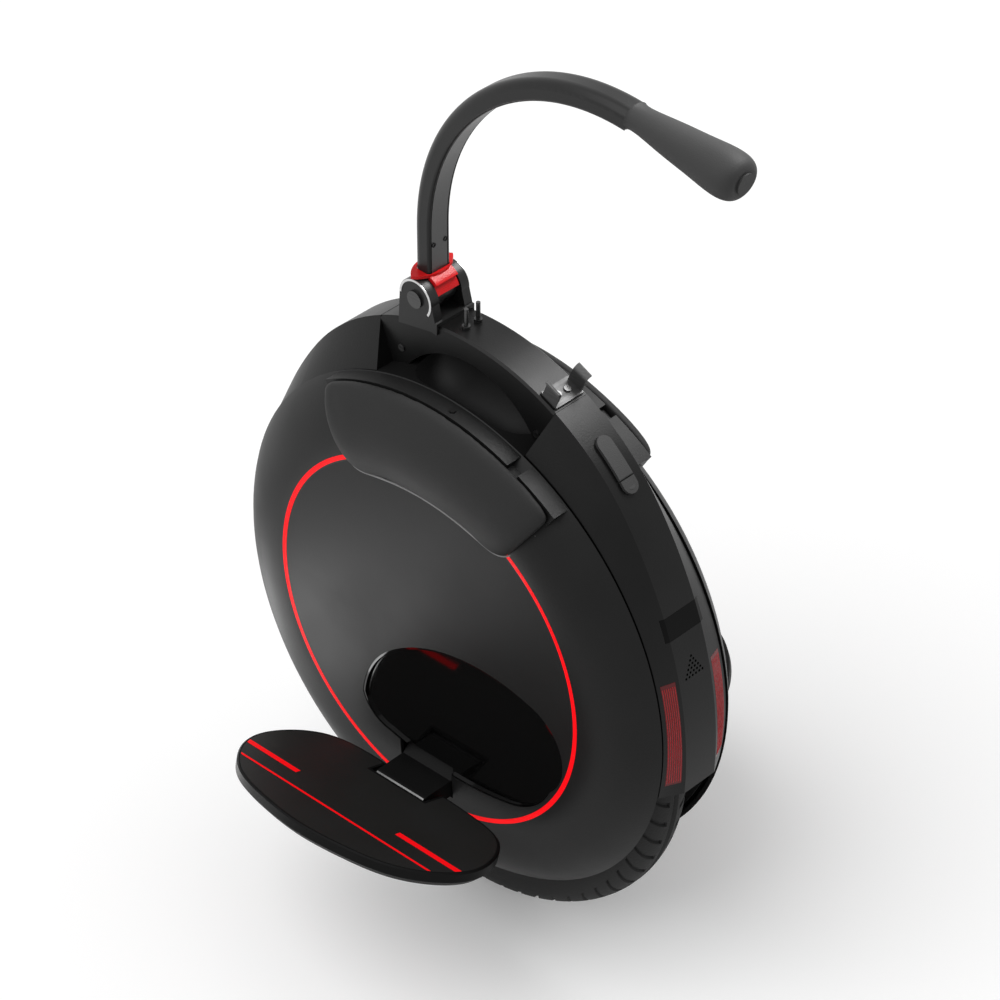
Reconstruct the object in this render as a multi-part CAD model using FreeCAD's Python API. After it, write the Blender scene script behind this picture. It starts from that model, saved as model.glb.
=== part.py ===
"""Electric unicycle with a folding handle arm.

Millimetres. The origin is on the ground under the axle, +X points forward,
+Y to the rider's left and +Z up. Left-hand pieces are modelled and the
right-hand ones are their mirror images.
"""
import FreeCAD, Part
import math
import os

V = FreeCAD.Vector

# Fits
FACE_GAP = 0.3  # two mouldings side by side, or two bodies that pass each other
RUN_FIT = 0.05  # radial, a shaft in its bore
INLAY_GAP = 0.15  # an inlay in its pocket

# Tyre and rim
TYRE_RADIUS = 178.0
TYRE_WIDTH = 54.0
TYRE_WALL = 5.0
TUBE_WALL = 2.0
BEAD_DROP = 51.0  # tread to bead seat
BEAD_INNER = 11.0  # half the clear width between the beads
BEAD_OUTER = 17.0
RIM_LIP = 5.5
RIM_HALF = 23.0
RIM_DEPTH = 19.0  # bead seat to motor bore
VALVE_RADIUS = 2.5
VALVE_STEP = 0.6  # the outer length is this much thicker

# Hub motor
MAGNET_WALL = 5.0
AIR_GAP = 1.0
STATOR_DEPTH = 40.0
STATOR_HALF = 15.0
SPIDER_HALF = 8.0
WINDING_DEPTH = 18.0
WINDING_OVERHANG = 5.5
COVER_LAP = 8.0  # cover over the rim's bore
COVER_WALL = 3.0
COVER_SCREWS = 8
BEARING_RADIUS = 17.5
BEARING_WIDTH = 10.0
BEARING_INSET = 16.0  # from the middle plane to the bearing's inner face
AXLE_RADIUS = 8.45
AXLE_SHOULDER = 10.5
AXLE_HALF = 48.0
NUT_SPAN = 24.0
NUT_HEIGHT = 6.0

# Frame
WELL_CLEARANCE = 6.0  # tyre to wheel well
WELL_WALL = 3.0
PLATE_INNER = 30.5  # side plate's inner face, from the middle plane
PLATE_WALL = 2.5
PLATE_DROP = 6.0  # plate edge inside the shell's rim
PLATFORM_HALF = 52.0
PLATFORM_RISE = 5.0  # flat seat above the wheel well

# Side shells
SHELL_RISE = 53.5  # shell centre above the axle
SHELL_MARGIN = 14.0  # shell rim's radius beyond the tyre's
SHELL_WALL = 3.0
RIM_Y = 32.0
SHOULDER_DROP = 16.0  # rim to shoulder
SHOULDER_Y = 46.6
CROWN_DROP = 55.3  # rim to crown
CROWN_Y = 55.0
APEX_Y = 57.5
BOSS_RADIUS = 5.0
BOSS_DROP = 27.0  # rim to the circle of screw bosses
BOSS_ANGLES = (15.0, 75.0, 105.0, 165.0, 225.0, 315.0)
SCREW_RADIUS = 2.0

# Red ring and gloss tray let into each shell
RING_WIDTH = 3.4
RING_DEPTH = 1.6
RING_RISE = 3.5  # ring centre above the shell centre
TRAY_FLOOR_Y = 54.0
TRAY_WALL = 1.5
TRAY_SINK = 0.4  # tray edge below the shell's face

# Leg pads
PAD_FRONT_ANGLE = 31.2  # ends of the pad, about the shell centre
PAD_REAR_ANGLE = 33.6
PAD_GAP = 0.6  # pad edge inside the shell's rim
PAD_LAP = 12.2  # pad over the crown
PAD_THICKNESS = 9.0
PAD_EDGE = 3.0  # thickness at the inner edge
PAD_RIM_Y = 52.5  # top of the deep outer edge

# Ledge that the pad's outer edge stands on
LEDGE_Y = 45.5
LEDGE_FRONT_ANGLE = 31.5  # its ends, about the shell centre
LEDGE_REAR_ANGLE = 34.0
NOTCH_X = -71.0
NOTCH_LENGTH = 10.0
NOTCH_DEPTH = 5.0

# Power button on the left shell
BUTTON_X = -12.0
BUTTON_Y = 39.5
BUTTON_RADIUS = 2.2
BUTTON_PROUD = 0.7
BUTTON_DEPTH = 1.3

# Spine
SPINE_WALL = 3.0
SPINE_FLAT_HALF = 14.5
SPINE_MARGIN = 5.0  # foot outside the shell's rim
SPINE_FOOT_RISE = 18.0  # foot above the axle
TOP_RADIUS = 174.0
TOP_MARGIN = 36.5  # top of the bridge outside the shell's rim
TANGENT_ANGLE = 36.0  # where the top curve meets the side curve
SEAM_ANGLE = 69.5  # where the bridge meets the spine
CHAMBER_HALF = 80.0  # half length of the chamber under the deck

# Lamps, window, sound holes and charge port in the spine
LENS_DEPTH = 2.0
WINDOW_LOW = 82.0  # above the shell centre
WINDOW_HEIGHT = 15.0
WINDOW_HALF = 17.5
LAMP_LOW = -25.0
LAMP_HEIGHT = 80.0
LAMP_INNER = 17.0
LAMP_OUTER = 27.5
GRILLE_RISE = 59.0  # above the shell centre
GRILLE_ROWS = 6
GRILLE_PITCH = 3.1
GRILLE_HOLE = 0.9
SPEAKER_RADIUS = 14.0
SOCKET_X = -108.0
SOCKET_RADIUS = 8.0
SOCKET_BORE = 3.0
SOCKET_DEPTH = 14.0
SOCKET_SINK = 0.5
FLAP_X = -118.0
FLAP_HALF = 21.0
FLAP_WIDTH_HALF = 6.0
FLAP_LIFT = 0.4
FLAP_WALL = 2.2
FLAP_TAIL = 12.0  # fixed length at the flap's lower end
FLAP_SLIT = 0.5

# Deck and bridge handle
DECK_GAP = 0.5  # deck below the shell's rim
DECK_DEPTH = 23.5
SCOOP_RADIUS = 33.0
SCOOP_LIFT = 14.0  # scoop's centre above the deck
SCOOP_ANGLES = (84.0, 99.7)
BRIDGE_HALF = 15.5
BRIDGE_CHAMFER = 1.5
ARCH_FRONT_FOOT = 15.0  # length of the bridge's feet on the deck
ARCH_REAR_FOOT = 7.0
ARCH_TOP_X = -6.0
BRIDGE_DEPTH = 16.5  # thickness of the grip bar at the top of the arch
FOOT_SCREWS = ((6.0, 12.0), (3.0, 5.7))  # front and rear: outside the arch's end, above the deck
FOOT_SCREW_RADIUS = 1.5
FOOT_SCREW_LENGTH = 6.0
FOOT_HEAD_RADIUS = 2.6
FOOT_HEAD_HEIGHT = 0.9

# Studs and clip on the bridge
STUD_X = 9.0
STUD_SPACING = 11.0
STUD_RADIUS = 1.5
STUD_HEIGHT = 15.0
STUD_COLLAR = 2.4  # collar above the bridge
STUD_COLLAR_RADIUS = 2.8
STUD_SUNK = 8.0
CLIP_INSET = 8.45  # clip's middle in from the bridge's rear end
CLIP_HALF = 12.5
CLIP_WALL = 1.5
CLIP_LENGTH = 15.0
CLIP_HEIGHT = 15.0
CLIP_WING_INSET = 1.5  # wings shorter than the clip at each end
CLIP_SCREW_SPACING = 8.7
CLIP_SCREW_RADIUS = 1.4
CLIP_SCREW_LENGTH = 8.0
CLIP_HEAD_RADIUS = 2.4
CLIP_HEAD_HEIGHT = 1.2

# Handle arm
HINGE_X = 43.0
HINGE_RISE = 17.4  # pivot above the bridge
EAR_RADIUS = 14.5
EAR_INNER = 10.3
EAR_OUTER = 17.2
SKIRT_FRONT = 16.0  # foot of the ear's skirt ahead of the pivot
SKIRT_FRONT_DROP = 8.0
SKIRT_REAR = 19.0
SKIRT_REAR_DROP = 0.5
FLOOR_HALF = 14.0
FLOOR_DEPTH = 6.0
BAR_WIDTH = 4.0
BAR_DEPTH = 2.0
BAR_RISE = 1.0
PIN_RADIUS = 4.0
PIN_HEAD_RADIUS = 6.2
PIN_HEAD_HEIGHT = 1.6
KNUCKLE_RADIUS = 10.5
KNUCKLE_HALF = 10.0
KNUCKLE_CLEARANCE = 1.5
ARM_OFFSET = 2.0  # arm's centre line ahead of the pivot
ARM_DEPTH = 14.0
ARM_WIDTH = 19.5
ARM_OUTER_ROUND = 6.0
ARM_INNER_ROUND = 2.0
ARM_STRAIGHT = 48.0
ARM_BEND = 155.0
ARM_SWEEP = 96.0
STRIP_DEPTH = 2.0
STRIP_HALF = 7.0
STRIP_GROOVE = 0.8
TENON_LENGTH = 25.0
TENON_RADIUS = 5.5
GRIP_LENGTH = 86.0
GRIP_ENDS = (8.6, 10.6), (9.0, 10.0)  # half depth and half width where the grip starts and ends
GRIP_FLARE = ((0.26, 9.6, 11.6), (0.58, 12.8, 14.3), (0.82, 15.0, 16.2), (0.95, 13.6, 14.8))
CAP_RADIUS = 7.0
CAP_HEIGHT = 1.5
LATCH_LIFT = 15.2  # latch collar above the pivot
LATCH_WALL = 2.2
LATCH_TIP = 19.0
LATCH_BELLY = 9.6
LATCH_START = 100.0  # angles about the pivot, from straight ahead
LATCH_LIP_END = 135.0
LATCH_TONGUE_END = 162.0
LATCH_LIP = 2.5
LATCH_TONGUE = 2.8

# Pedals
PEDAL_LENGTH = 213.0
PEDAL_DEPTH = 116.0
PEDAL_THICKNESS = 11.0
PEDAL_TAPER = 4.0  # height of the sloped edge under the plate
PEDAL_SHIFT = -4.0  # pedal centre ahead of the axle
PEDAL_TILT = 17.0  # outer edge up
PEDAL_CANT = 2.5  # front end down
PEDAL_BACK = 9.7  # pedal edge behind its pin
PEDAL_PIN_Y = 78.0
PEDAL_PIN_DROP = 60.5  # pin below the axle
PEDAL_PIN_RADIUS = 3.5
PEDAL_PIN_HALF = 45.7
SHEET_MARGIN = 2.0
SHEET_THICKNESS = 1.0
BRACKET_HALF = 23.0
BRACKET_NOSE = 6.5
BRACKET_FOOT = 10.0  # flange below the nose
BRACKET_KNEE = 10.0  # height of the slope above the nose
BRACKET_RISE = 21.0  # flange above the nose
BRACKET_SCREW_X = 16.0
BRACKET_SCREW_RISES = (-9.5, 22.0)  # above the pin
BRACKET_SCREW_RADIUS = 2.5
BRACKET_SCREW_DEPTH = 5.0
BRACKET_HEAD_RADIUS = 4.2
BRACKET_HEAD_HEIGHT = 3.0
SLOT_GAP = 3.0  # pedal, each side of the bracket
WAY_GAP = 1.5  # shell and tray, round the bracket
NOSE_GAP = 0.8
HANGER_WALL = 6.0
HANGER_HALF = 24.0
HANGER_FOOT = 15.0  # below the bracket's nose
HANGER_RISE = 37.0  # above the axle
HANGER_CORNER = 10.0
HANGER_BOLT_RISES = (29.0, -24.0)  # above the axle
HANGER_BOLT_RADIUS = 3.0
HANGER_HEAD_RADIUS = 5.5
HANGER_HEAD_HEIGHT = 4.5
FLANGE_WALL = 5.0

# Electrics
BATTERY_INNER = 50.0
BATTERY_ANGLE = 20.0  # of the pack's ends above the horizontal
CABLE_RADIUS = 1.7
CABLE_Y = 46.8
CABLE_BEND = 6.0
CABLE_RISE = 4.4  # lead above the board
SINK_HALF = 45.0
SINK_BASE = 4.0
FIN_HEIGHT = 8.0
FIN_SLOTS = 6
BOARD_HALF = 40.0
BOARD_WIDTH_HALF = 24.0
BOARD_WALL = 1.6
PLUG_Y = 18.0
PLUG_SIZE = 8.0
DRUM_RADIUS = 4.5
DRUM_HEIGHT = 8.0
DRUM_XS = (-27.0, -15.0, 15.0, 27.0)

# Values worked out from the sizes above
ROUND_SHARE = 1 - math.sqrt(0.5)  # middle of a quarter round, as a share of its radius
AXLE_Z = TYRE_RADIUS
SECTION_RADIUS = TYRE_WIDTH / 2
SECTION_CENTRE = TYRE_RADIUS - SECTION_RADIUS
BEAD_RADIUS = TYRE_RADIUS - BEAD_DROP
RIM_BORE = BEAD_RADIUS - RIM_DEPTH
COVER_RADIUS = RIM_BORE + COVER_LAP
COVER_OUTER = RIM_HALF + COVER_WALL
MAGNET_BORE = RIM_BORE - MAGNET_WALL
STATOR_RADIUS = MAGNET_BORE - AIR_GAP
STATOR_BORE = STATOR_RADIUS - STATOR_DEPTH
SHELL_Z = AXLE_Z + SHELL_RISE
RIM_RADIUS = TYRE_RADIUS + SHELL_MARGIN
SHOULDER_RADIUS = RIM_RADIUS - SHOULDER_DROP
CROWN_RADIUS = RIM_RADIUS - CROWN_DROP
RING_RADIUS = CROWN_RADIUS
BOSS_CIRCLE = RIM_RADIUS - BOSS_DROP
PLATE_RADIUS = RIM_RADIUS - PLATE_DROP
PAD_OUTER_RADIUS = RIM_RADIUS - PAD_GAP
WELL_RADIUS = TYRE_RADIUS + WELL_CLEARANCE
WELL_OUTER = WELL_RADIUS + WELL_WALL
PLATE_OUTER = PLATE_INNER + PLATE_WALL
SPINE_HALF = PLATE_INNER - FACE_GAP
SPINE_FOOT_X = RIM_RADIUS + SPINE_MARGIN
SPINE_FOOT_Z = AXLE_Z + SPINE_FOOT_RISE
TOP_Z = SHELL_Z + RIM_RADIUS + TOP_MARGIN - TOP_RADIUS
DECK_RADIUS = RIM_RADIUS - DECK_GAP
DECK_INNER = DECK_RADIUS - DECK_DEPTH
SCOOP_CENTRE = DECK_RADIUS + SCOOP_LIFT
SEAM_X = DECK_RADIUS * math.cos(math.radians(SEAM_ANGLE))
ARCH_FRONT_X = SEAM_X - ARCH_FRONT_FOOT
ARCH_REAR_X = ARCH_REAR_FOOT - SEAM_X
HANGER_OUTER = PLATE_OUTER + HANGER_WALL
FLANGE_OUTER = HANGER_OUTER + FLANGE_WALL
PEDAL_PIN_Z = AXLE_Z - PEDAL_PIN_DROP
HINGE_Z = TOP_Z + math.sqrt(TOP_RADIUS**2 - HINGE_X**2) + HINGE_RISE
ARM_X = HINGE_X + ARM_OFFSET
BEND_Z = HINGE_Z + ARM_STRAIGHT
BEND_X = ARM_X - ARM_BEND
SEAT_Z = AXLE_Z + WELL_OUTER + PLATFORM_RISE
BOARD_Z = SEAT_Z + SINK_BASE + FIN_HEIGHT
CABLE_Z = BOARD_Z + BOARD_WALL + CABLE_RISE
NEG_Y = V(0, -1, 0)


def flat(y):
    """Places outline points (x, z) on the plane at this y."""
    return lambda x, z: V(x, y, z)


def wire(place, *stops):
    """Closed outline: a stop is a point, (through, point) for an arc, or a list for a smooth curve."""
    edges = []
    first = here = place(*stops[0])
    for stop in stops[1:]:
        if isinstance(stop, list):
            curve = Part.BSplineCurve()
            end = place(*stop[-1])
            curve.interpolate([here] + [place(*point) for point in stop])
            edges.append(curve.toShape())
        elif isinstance(stop[0], tuple):
            end = place(*stop[1])
            edges.append(Part.Arc(here, place(*stop[0]), end).toShape())
        else:
            end = place(*stop)
            edges.append(Part.LineSegment(here, end).toShape())
        here = end
    if here.distanceToPoint(first) > 1e-6:
        edges.append(Part.LineSegment(here, first).toShape())
    return Part.Wire(edges)


def firm(shape):
    """Joins split faces and turns the solid the right way out."""
    shape = shape.removeSplitter()
    return shape if shape.Volume > 0 else shape.reversed()


def prism(outline, x=0.0, y=0.0, z=0.0):
    return firm(Part.Face(outline).extrude(V(x, y, z)))


def drum(radius, y0, y1, x=0.0, z=0.0):
    """Cylinder along Y."""
    return Part.makeCylinder(radius, y1 - y0, V(x, y0, z), V(0, 1, 0))


def washer(outer, inner, y0, y1, x=0.0, z=0.0):
    return drum(outer, y0, y1, x, z).cut(drum(inner, y0, y1, x, z))


def block(x0, x1, y0, y1, z0, z1):
    return Part.makeBox(x1 - x0, y1 - y0, z1 - z0, V(x0, y0, z0))


def spun(stops, x=0.0, z=0.0, start=0.0, sweep=360.0):
    """Turns an outline of (radius, y) stops about Y, from +X towards +Z."""
    face = Part.Face(wire(lambda r, y: V(x + r, y, z), *stops))
    face.rotate(V(x, 0, z), NEG_Y, start)
    return firm(face.revolve(V(x, 0, z), NEG_Y, sweep))


def turned(shape, angle, x=0.0, z=0.0):
    """Copy turned about Y, from +X towards +Z."""
    copy = shape.copy()
    copy.rotate(V(x, 0, z), NEG_Y, angle)
    return copy


def mirrored(shape):
    """The same piece on the other side."""
    return shape.mirror(V(0, 0, 0), V(0, 1, 0))


def joined(shapes):
    whole = shapes[0]
    for shape in shapes[1:]:
        whole = whole.fuse(shape)
    return firm(whole)


def polar(radius, angle, x=0.0, z=0.0):
    """Point at an angle from +X towards +Z."""
    return (x + radius * math.cos(math.radians(angle)), z + radius * math.sin(math.radians(angle)))


def height_on(radius, x, centre_z):
    """Height of a circle about (0, centre_z) at this x."""
    return centre_z + math.sqrt(radius**2 - x**2)


def save(name, *solids):
    shape = solids[0] if len(solids) == 1 else Part.makeCompound(list(solids))
    shape.exportStep(f"parts/{name}.step")
    print(f"{name}: {len(shape.Solids)} solids, {shape.Volume / 1000:.1f} cm3, valid {shape.isValid()}")


def save_pair(name, shape):
    save(f"left_{name}", shape)
    save(f"right_{name}", mirrored(shape))


# Wheel
def tyre():
    bead_flare = BEAD_RADIUS + RIM_LIP + 0.5
    flare_y = math.sqrt(SECTION_RADIUS**2 - (SECTION_CENTRE - bead_flare) ** 2)
    cavity = SECTION_RADIUS - TYRE_WALL
    toe_radius = SECTION_CENTRE - math.sqrt(cavity**2 - BEAD_INNER**2)
    return spun(
        (
            (BEAD_RADIUS, BEAD_INNER),
            (BEAD_RADIUS, BEAD_OUTER),
            (bead_flare, flare_y),
            ((TYRE_RADIUS, 0), (bead_flare, -flare_y)),
            (BEAD_RADIUS, -BEAD_OUTER),
            (BEAD_RADIUS, -BEAD_INNER),
            (toe_radius, -BEAD_INNER),
            ((SECTION_CENTRE + cavity, 0), (toe_radius, BEAD_INNER)),
        ),
        z=AXLE_Z,
    )


def inner_tube():
    outer = SECTION_RADIUS - TYRE_WALL - FACE_GAP
    centre = V(0, 0, AXLE_Z)
    tube = Part.makeTorus(SECTION_CENTRE, outer, centre, V(0, 1, 0))
    return tube.cut(Part.makeTorus(SECTION_CENTRE, outer - TUBE_WALL, centre, V(0, 1, 0)))


def valve_stem(gap=0.0):
    """Stem that leaves the tube inwards and turns out through the rim's side."""
    bend_z = AXLE_Z + BEAD_RADIUS - 2.8 * VALVE_RADIUS
    top_z = AXLE_Z + SECTION_CENTRE - SECTION_RADIUS + TYRE_WALL + FACE_GAP
    radius = VALVE_RADIUS + gap
    rise = Part.makeCylinder(radius, top_z - bend_z, V(0, 0, bend_z), V(0, 0, 1))
    return joined([rise, drum(radius + VALVE_STEP, -radius - VALVE_STEP, COVER_OUTER, 0, bend_z)])


def wheel_rim():
    lip = BEAD_RADIUS + RIM_LIP
    seat = BEAD_OUTER + FACE_GAP
    lip_y = seat + 3.2
    body = spun(
        (
            (RIM_BORE, -RIM_HALF),
            (RIM_BORE, RIM_HALF),
            (lip, RIM_HALF),
            (lip, lip_y),
            (BEAD_RADIUS - INLAY_GAP, seat),
            (BEAD_RADIUS - INLAY_GAP, -seat),
            (lip, -lip_y),
            (lip, -RIM_HALF),
        ),
        z=AXLE_Z,
    )
    for screw in cover_screws():
        body = body.cut(screw)
    return firm(body.cut(valve_stem(INLAY_GAP)))


def motor_cover():
    hub = BEARING_RADIUS + 6.5
    lip_y = BEARING_INSET + BEARING_WIDTH
    return spun(
        (
            (BEARING_RADIUS, BEARING_INSET - 2),
            (hub, BEARING_INSET - 2),
            (hub, RIM_HALF),
            (COVER_RADIUS, RIM_HALF),
            (COVER_RADIUS, COVER_OUTER),
            (hub + 4, COVER_OUTER),
            (hub + 2, lip_y + 1),
            (AXLE_SHOULDER + 0.5, lip_y + 1),
            (AXLE_SHOULDER + 0.5, lip_y),
            (BEARING_RADIUS, lip_y),
        ),
        z=AXLE_Z,
    )


def cover_screws():
    """Flat-headed screws round both covers, sunk into the rim."""
    circle = (RIM_BORE + COVER_RADIUS) / 2
    screws = []
    for index in range(COVER_SCREWS):
        x, z = polar(circle, 360 / COVER_SCREWS * (index + 0.5), 0, AXLE_Z)
        head = drum(3.2, COVER_OUTER, COVER_OUTER + 1.2, x, z)
        screw = joined([head, drum(1.8, RIM_HALF - 6, COVER_OUTER, x, z)])
        screws += [screw, mirrored(screw)]
    return screws


def bearing():
    far = BEARING_INSET + BEARING_WIDTH
    return washer(BEARING_RADIUS, AXLE_RADIUS + RUN_FIT, BEARING_INSET, far, 0, AXLE_Z)


def axle():
    shaft = drum(AXLE_RADIUS, -AXLE_HALF, AXLE_HALF, 0, AXLE_Z)
    return joined([shaft, drum(AXLE_SHOULDER, FACE_GAP - BEARING_INSET, BEARING_INSET - FACE_GAP, 0, AXLE_Z)])


def stator():
    """Core ring on its spider, and the copper on both of its faces."""
    core = washer(STATOR_RADIUS, STATOR_BORE, -STATOR_HALF, STATOR_HALF, 0, AXLE_Z)
    spider = washer(STATOR_BORE, AXLE_SHOULDER, -SPIDER_HALF, SPIDER_HALF, 0, AXLE_Z)
    outer = STATOR_RADIUS - 4
    copper = washer(outer, outer - WINDING_DEPTH, STATOR_HALF, STATOR_HALF + WINDING_OVERHANG, 0, AXLE_Z)
    return joined([core, spider]), copper


# Side shells
def dome(offset, base=RIM_Y):
    """Solid under the shell's outer face, grown or shrunk by an offset."""
    rim = RIM_RADIUS + offset
    shoulder = (SHOULDER_RADIUS + offset / 2, SHOULDER_Y + offset * 0.866)
    crown = (CROWN_RADIUS, CROWN_Y + offset)
    halfway = (CROWN_RADIUS / 2, CROWN_Y + offset + 0.75 * (APEX_Y - CROWN_Y))
    stops = [(0, base), (rim, base)]
    if base < RIM_Y:
        stops.append((rim, RIM_Y))
    stops += [(shoulder, crown), [halfway, (0, APEX_Y + offset)]]
    return spun(stops, z=SHELL_Z)


def dome_y(radius):
    """Height of the shell's outer face above the middle plane."""
    if radius <= CROWN_RADIUS:
        return APEX_Y - (APEX_Y - CROWN_Y) * (radius / CROWN_RADIUS) ** 2
    stops = (CROWN_RADIUS, CROWN_Y), (SHOULDER_RADIUS, SHOULDER_Y), (RIM_RADIUS, RIM_Y)
    curve = Part.Arc(*[V(r, y, 0) for r, y in stops]).toShape().Curve
    return curve.Center.y + math.sqrt(curve.Radius**2 - (radius - curve.Center.x) ** 2)


def tray_outline():
    """Oval below the shell's centre, drawn out to the rear, in units of the ring's radius."""
    return wire(
        lambda x, z: V(RING_RADIUS * x, 0, SHELL_Z + RING_RADIUS * z),
        (0.446, -0.541),
        ((0.380, -0.337), (0.234, -0.157)),
        ((-0.219, 0.062), (-0.702, 0.040)),
        ((-0.918, -0.183), (-0.841, -0.439)),
        ((-0.717, -0.607), (-0.541, -0.688)),
        ((-0.124, -0.739), (0.256, -0.699)),
        ((0.388, -0.644), (0.446, -0.541)),
    )


def tray_prism(inset, y0, y1):
    outline = tray_outline()
    if inset:
        outline = outline.makeOffset2D(-inset)
    outline.translate(V(0, y0, 0))
    return prism(outline, y=y1 - y0)


def canted(shape):
    """Turns a piece of the pedal's mounting about the pin's middle, front end down."""
    return turned(shape, -PEDAL_CANT, 0, PEDAL_PIN_Z)


def bracket_way():
    """Opening that the pedal bracket comes out through."""
    half = BRACKET_HALF + WAY_GAP
    low = PEDAL_PIN_Z - BRACKET_NOSE - WAY_GAP
    high = PEDAL_PIN_Z + BRACKET_NOSE + BRACKET_KNEE + WAY_GAP
    return canted(block(-half, half, PLATE_OUTER, APEX_Y + 5, low, high))


def ring_band(grow):
    half = RING_WIDTH / 2 + grow
    z = SHELL_Z + RING_RISE
    return washer(RING_RADIUS + half, RING_RADIUS - half, RIM_Y, APEX_Y + 5, 0, z)


def trim_ring():
    return firm(ring_band(0).common(dome(0.1)).cut(dome(-RING_DEPTH)))


def gloss_tray():
    body = tray_prism(INLAY_GAP, TRAY_FLOOR_Y - TRAY_WALL, APEX_Y + 5).common(dome(-TRAY_SINK))
    body = body.cut(tray_prism(INLAY_GAP + TRAY_WALL, TRAY_FLOOR_Y, APEX_Y + 5))
    return firm(body.cut(bracket_way()))


def boss_centres():
    return [polar(BOSS_CIRCLE, angle, 0, SHELL_Z) for angle in BOSS_ANGLES]


def shell_screws(gap=0.0):
    """Screws from the wheel well through the side plate into the shell's bosses."""
    depth = PLATE_OUTER + 6
    return [drum(SCREW_RADIUS + gap, PLATE_INNER, depth, x, z) for x, z in boss_centres()]


def button_frame():
    """Place and outward direction of the power button on the shell's ledge."""
    rise = height_on(DECK_RADIUS, BUTTON_X, 0)
    return V(BUTTON_X, BUTTON_Y, SHELL_Z + rise), V(BUTTON_X, 0, rise).normalize()


def power_button(gap=0.0):
    place, out = button_frame()
    depth = BUTTON_DEPTH + (2 * SHELL_WALL if gap else 0)
    return Part.makeCylinder(BUTTON_RADIUS + gap, depth + BUTTON_PROUD + gap, place - out * depth, out)


def shell_ledge():
    """Shelf between the shell's sloped shoulder and the curve of the deck, with a notch across it."""
    stops = (CROWN_RADIUS, RIM_Y), (DECK_RADIUS, RIM_Y), (DECK_RADIUS, LEDGE_Y), (CROWN_RADIUS, LEDGE_Y)
    ledge = spun(stops, 0, SHELL_Z, 90 - LEDGE_FRONT_ANGLE, LEDGE_FRONT_ANGLE + LEDGE_REAR_ANGLE)
    top = SHELL_Z + DECK_RADIUS
    half = NOTCH_LENGTH / 2
    notch = block(-half, half, RIM_Y, LEDGE_Y, top - NOTCH_DEPTH, top + NOTCH_DEPTH)
    angle = math.degrees(math.asin(-NOTCH_X / DECK_RADIUS))
    return firm(ledge.cut(turned(notch, angle, 0, SHELL_Z)).cut(dome(-1)))


def side_shell():
    shell = dome(0).cut(dome(-SHELL_WALL, PLATE_INNER))
    bosses = [drum(BOSS_RADIUS, PLATE_OUTER, APEX_Y, x, z).common(dome(-1)) for x, z in boss_centres()]
    shell = joined([shell, shell_ledge()] + bosses)
    openings = [tray_prism(0, PLATE_OUTER, APEX_Y + 5), bracket_way(), power_button(FACE_GAP)]
    for cutter in openings + shell_screws():
        shell = shell.cut(cutter)
    groove = ring_band(INLAY_GAP).cut(dome(-RING_DEPTH - INLAY_GAP))
    return firm(shell.cut(groove))


def pad_section(angle, inner, outer, fullness):
    """Cushion profile on a plane through the shell's axis: thin inside, crowned, with a deep outer edge."""
    middle = (inner + outer) / 2
    edge = PAD_EDGE * fullness
    top = LEDGE_Y + (PAD_RIM_Y - LEDGE_Y) * fullness
    place = lambda r, y: V(polar(r, angle)[0], y, polar(r, angle, 0, SHELL_Z)[1])
    return wire(
        place,
        (inner, dome_y(inner) - 4),
        (inner, dome_y(inner) + edge / 2),
        (inner + 1.5, dome_y(inner) + edge),
        ((middle, dome_y(middle) + PAD_THICKNESS * fullness), (outer - 2, top)),
        (outer, top - 2),
        (outer, RIM_Y),
    )


def leg_pad():
    """Curved cushion, rounded at its four corners."""
    corner = [(1, 24, 6, 0.6), (0.964, 13, 1.5, 0.9)]  # share of angle, draw-ins, fullness
    side = [(0.86, 5.5, 0, 1), (0.6, 2.5, 0, 1), (0.3, 0.8, 0, 1)]
    half = corner + side
    front = [(-share * PAD_FRONT_ANGLE, *rest) for share, *rest in half]
    rear = [(share * PAD_REAR_ANGLE, *rest) for share, *rest in half]
    stations = front + [(0, 0, 0, 1)] + rear[::-1]
    inner = CROWN_RADIUS - PAD_LAP
    sections = [pad_section(90 + a, inner + i, PAD_OUTER_RADIUS - o, f) for a, i, o, f in stations]
    seat = drum(RIM_RADIUS + SHELL_MARGIN, 0, LEDGE_Y + FACE_GAP, 0, SHELL_Z)
    return firm(Part.makeLoft(sections, True, False).cut(dome(FACE_GAP, 0)).cut(seat))


# Frame
def main_frame():
    plates = []
    for y0 in (PLATE_INNER, -PLATE_OUTER):
        plate = drum(PLATE_RADIUS, y0, y0 + PLATE_WALL, 0, SHELL_Z)
        plates.append(plate.cut(drum(AXLE_RADIUS + 3.5, y0, y0 + PLATE_WALL, 0, AXLE_Z)))
    well = washer(WELL_OUTER, WELL_RADIUS, -PLATE_INNER, PLATE_INNER, 0, AXLE_Z)
    reach = WELL_OUTER + 10
    well = well.cut(block(-reach, reach, -reach, reach, AXLE_Z - reach, SPINE_FOOT_Z))
    seat_low = AXLE_Z + WELL_RADIUS - 10
    seat = block(-PLATFORM_HALF, PLATFORM_HALF, -PLATE_INNER, PLATE_INNER, seat_low, SEAT_Z)
    seat = seat.cut(drum(WELL_RADIUS, -PLATE_INNER, PLATE_INNER, 0, AXLE_Z))
    frame = joined(plates + [well, seat])
    for screw in shell_screws() + hanger_bolts():
        frame = frame.cut(screw).cut(mirrored(screw))
    return firm(frame.cut(cable_hole()))


def hanger_bolts():
    bolts = []
    for x in (-BRACKET_SCREW_X, BRACKET_SCREW_X):
        for rise in HANGER_BOLT_RISES:
            z = AXLE_Z + rise
            shank = drum(HANGER_BOLT_RADIUS, PLATE_INNER + FACE_GAP, HANGER_OUTER, x, z)
            head = drum(HANGER_HEAD_RADIUS, HANGER_OUTER, HANGER_OUTER + HANGER_HEAD_HEIGHT, x, z)
            bolts.append(joined([shank, head]))
    return bolts


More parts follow.
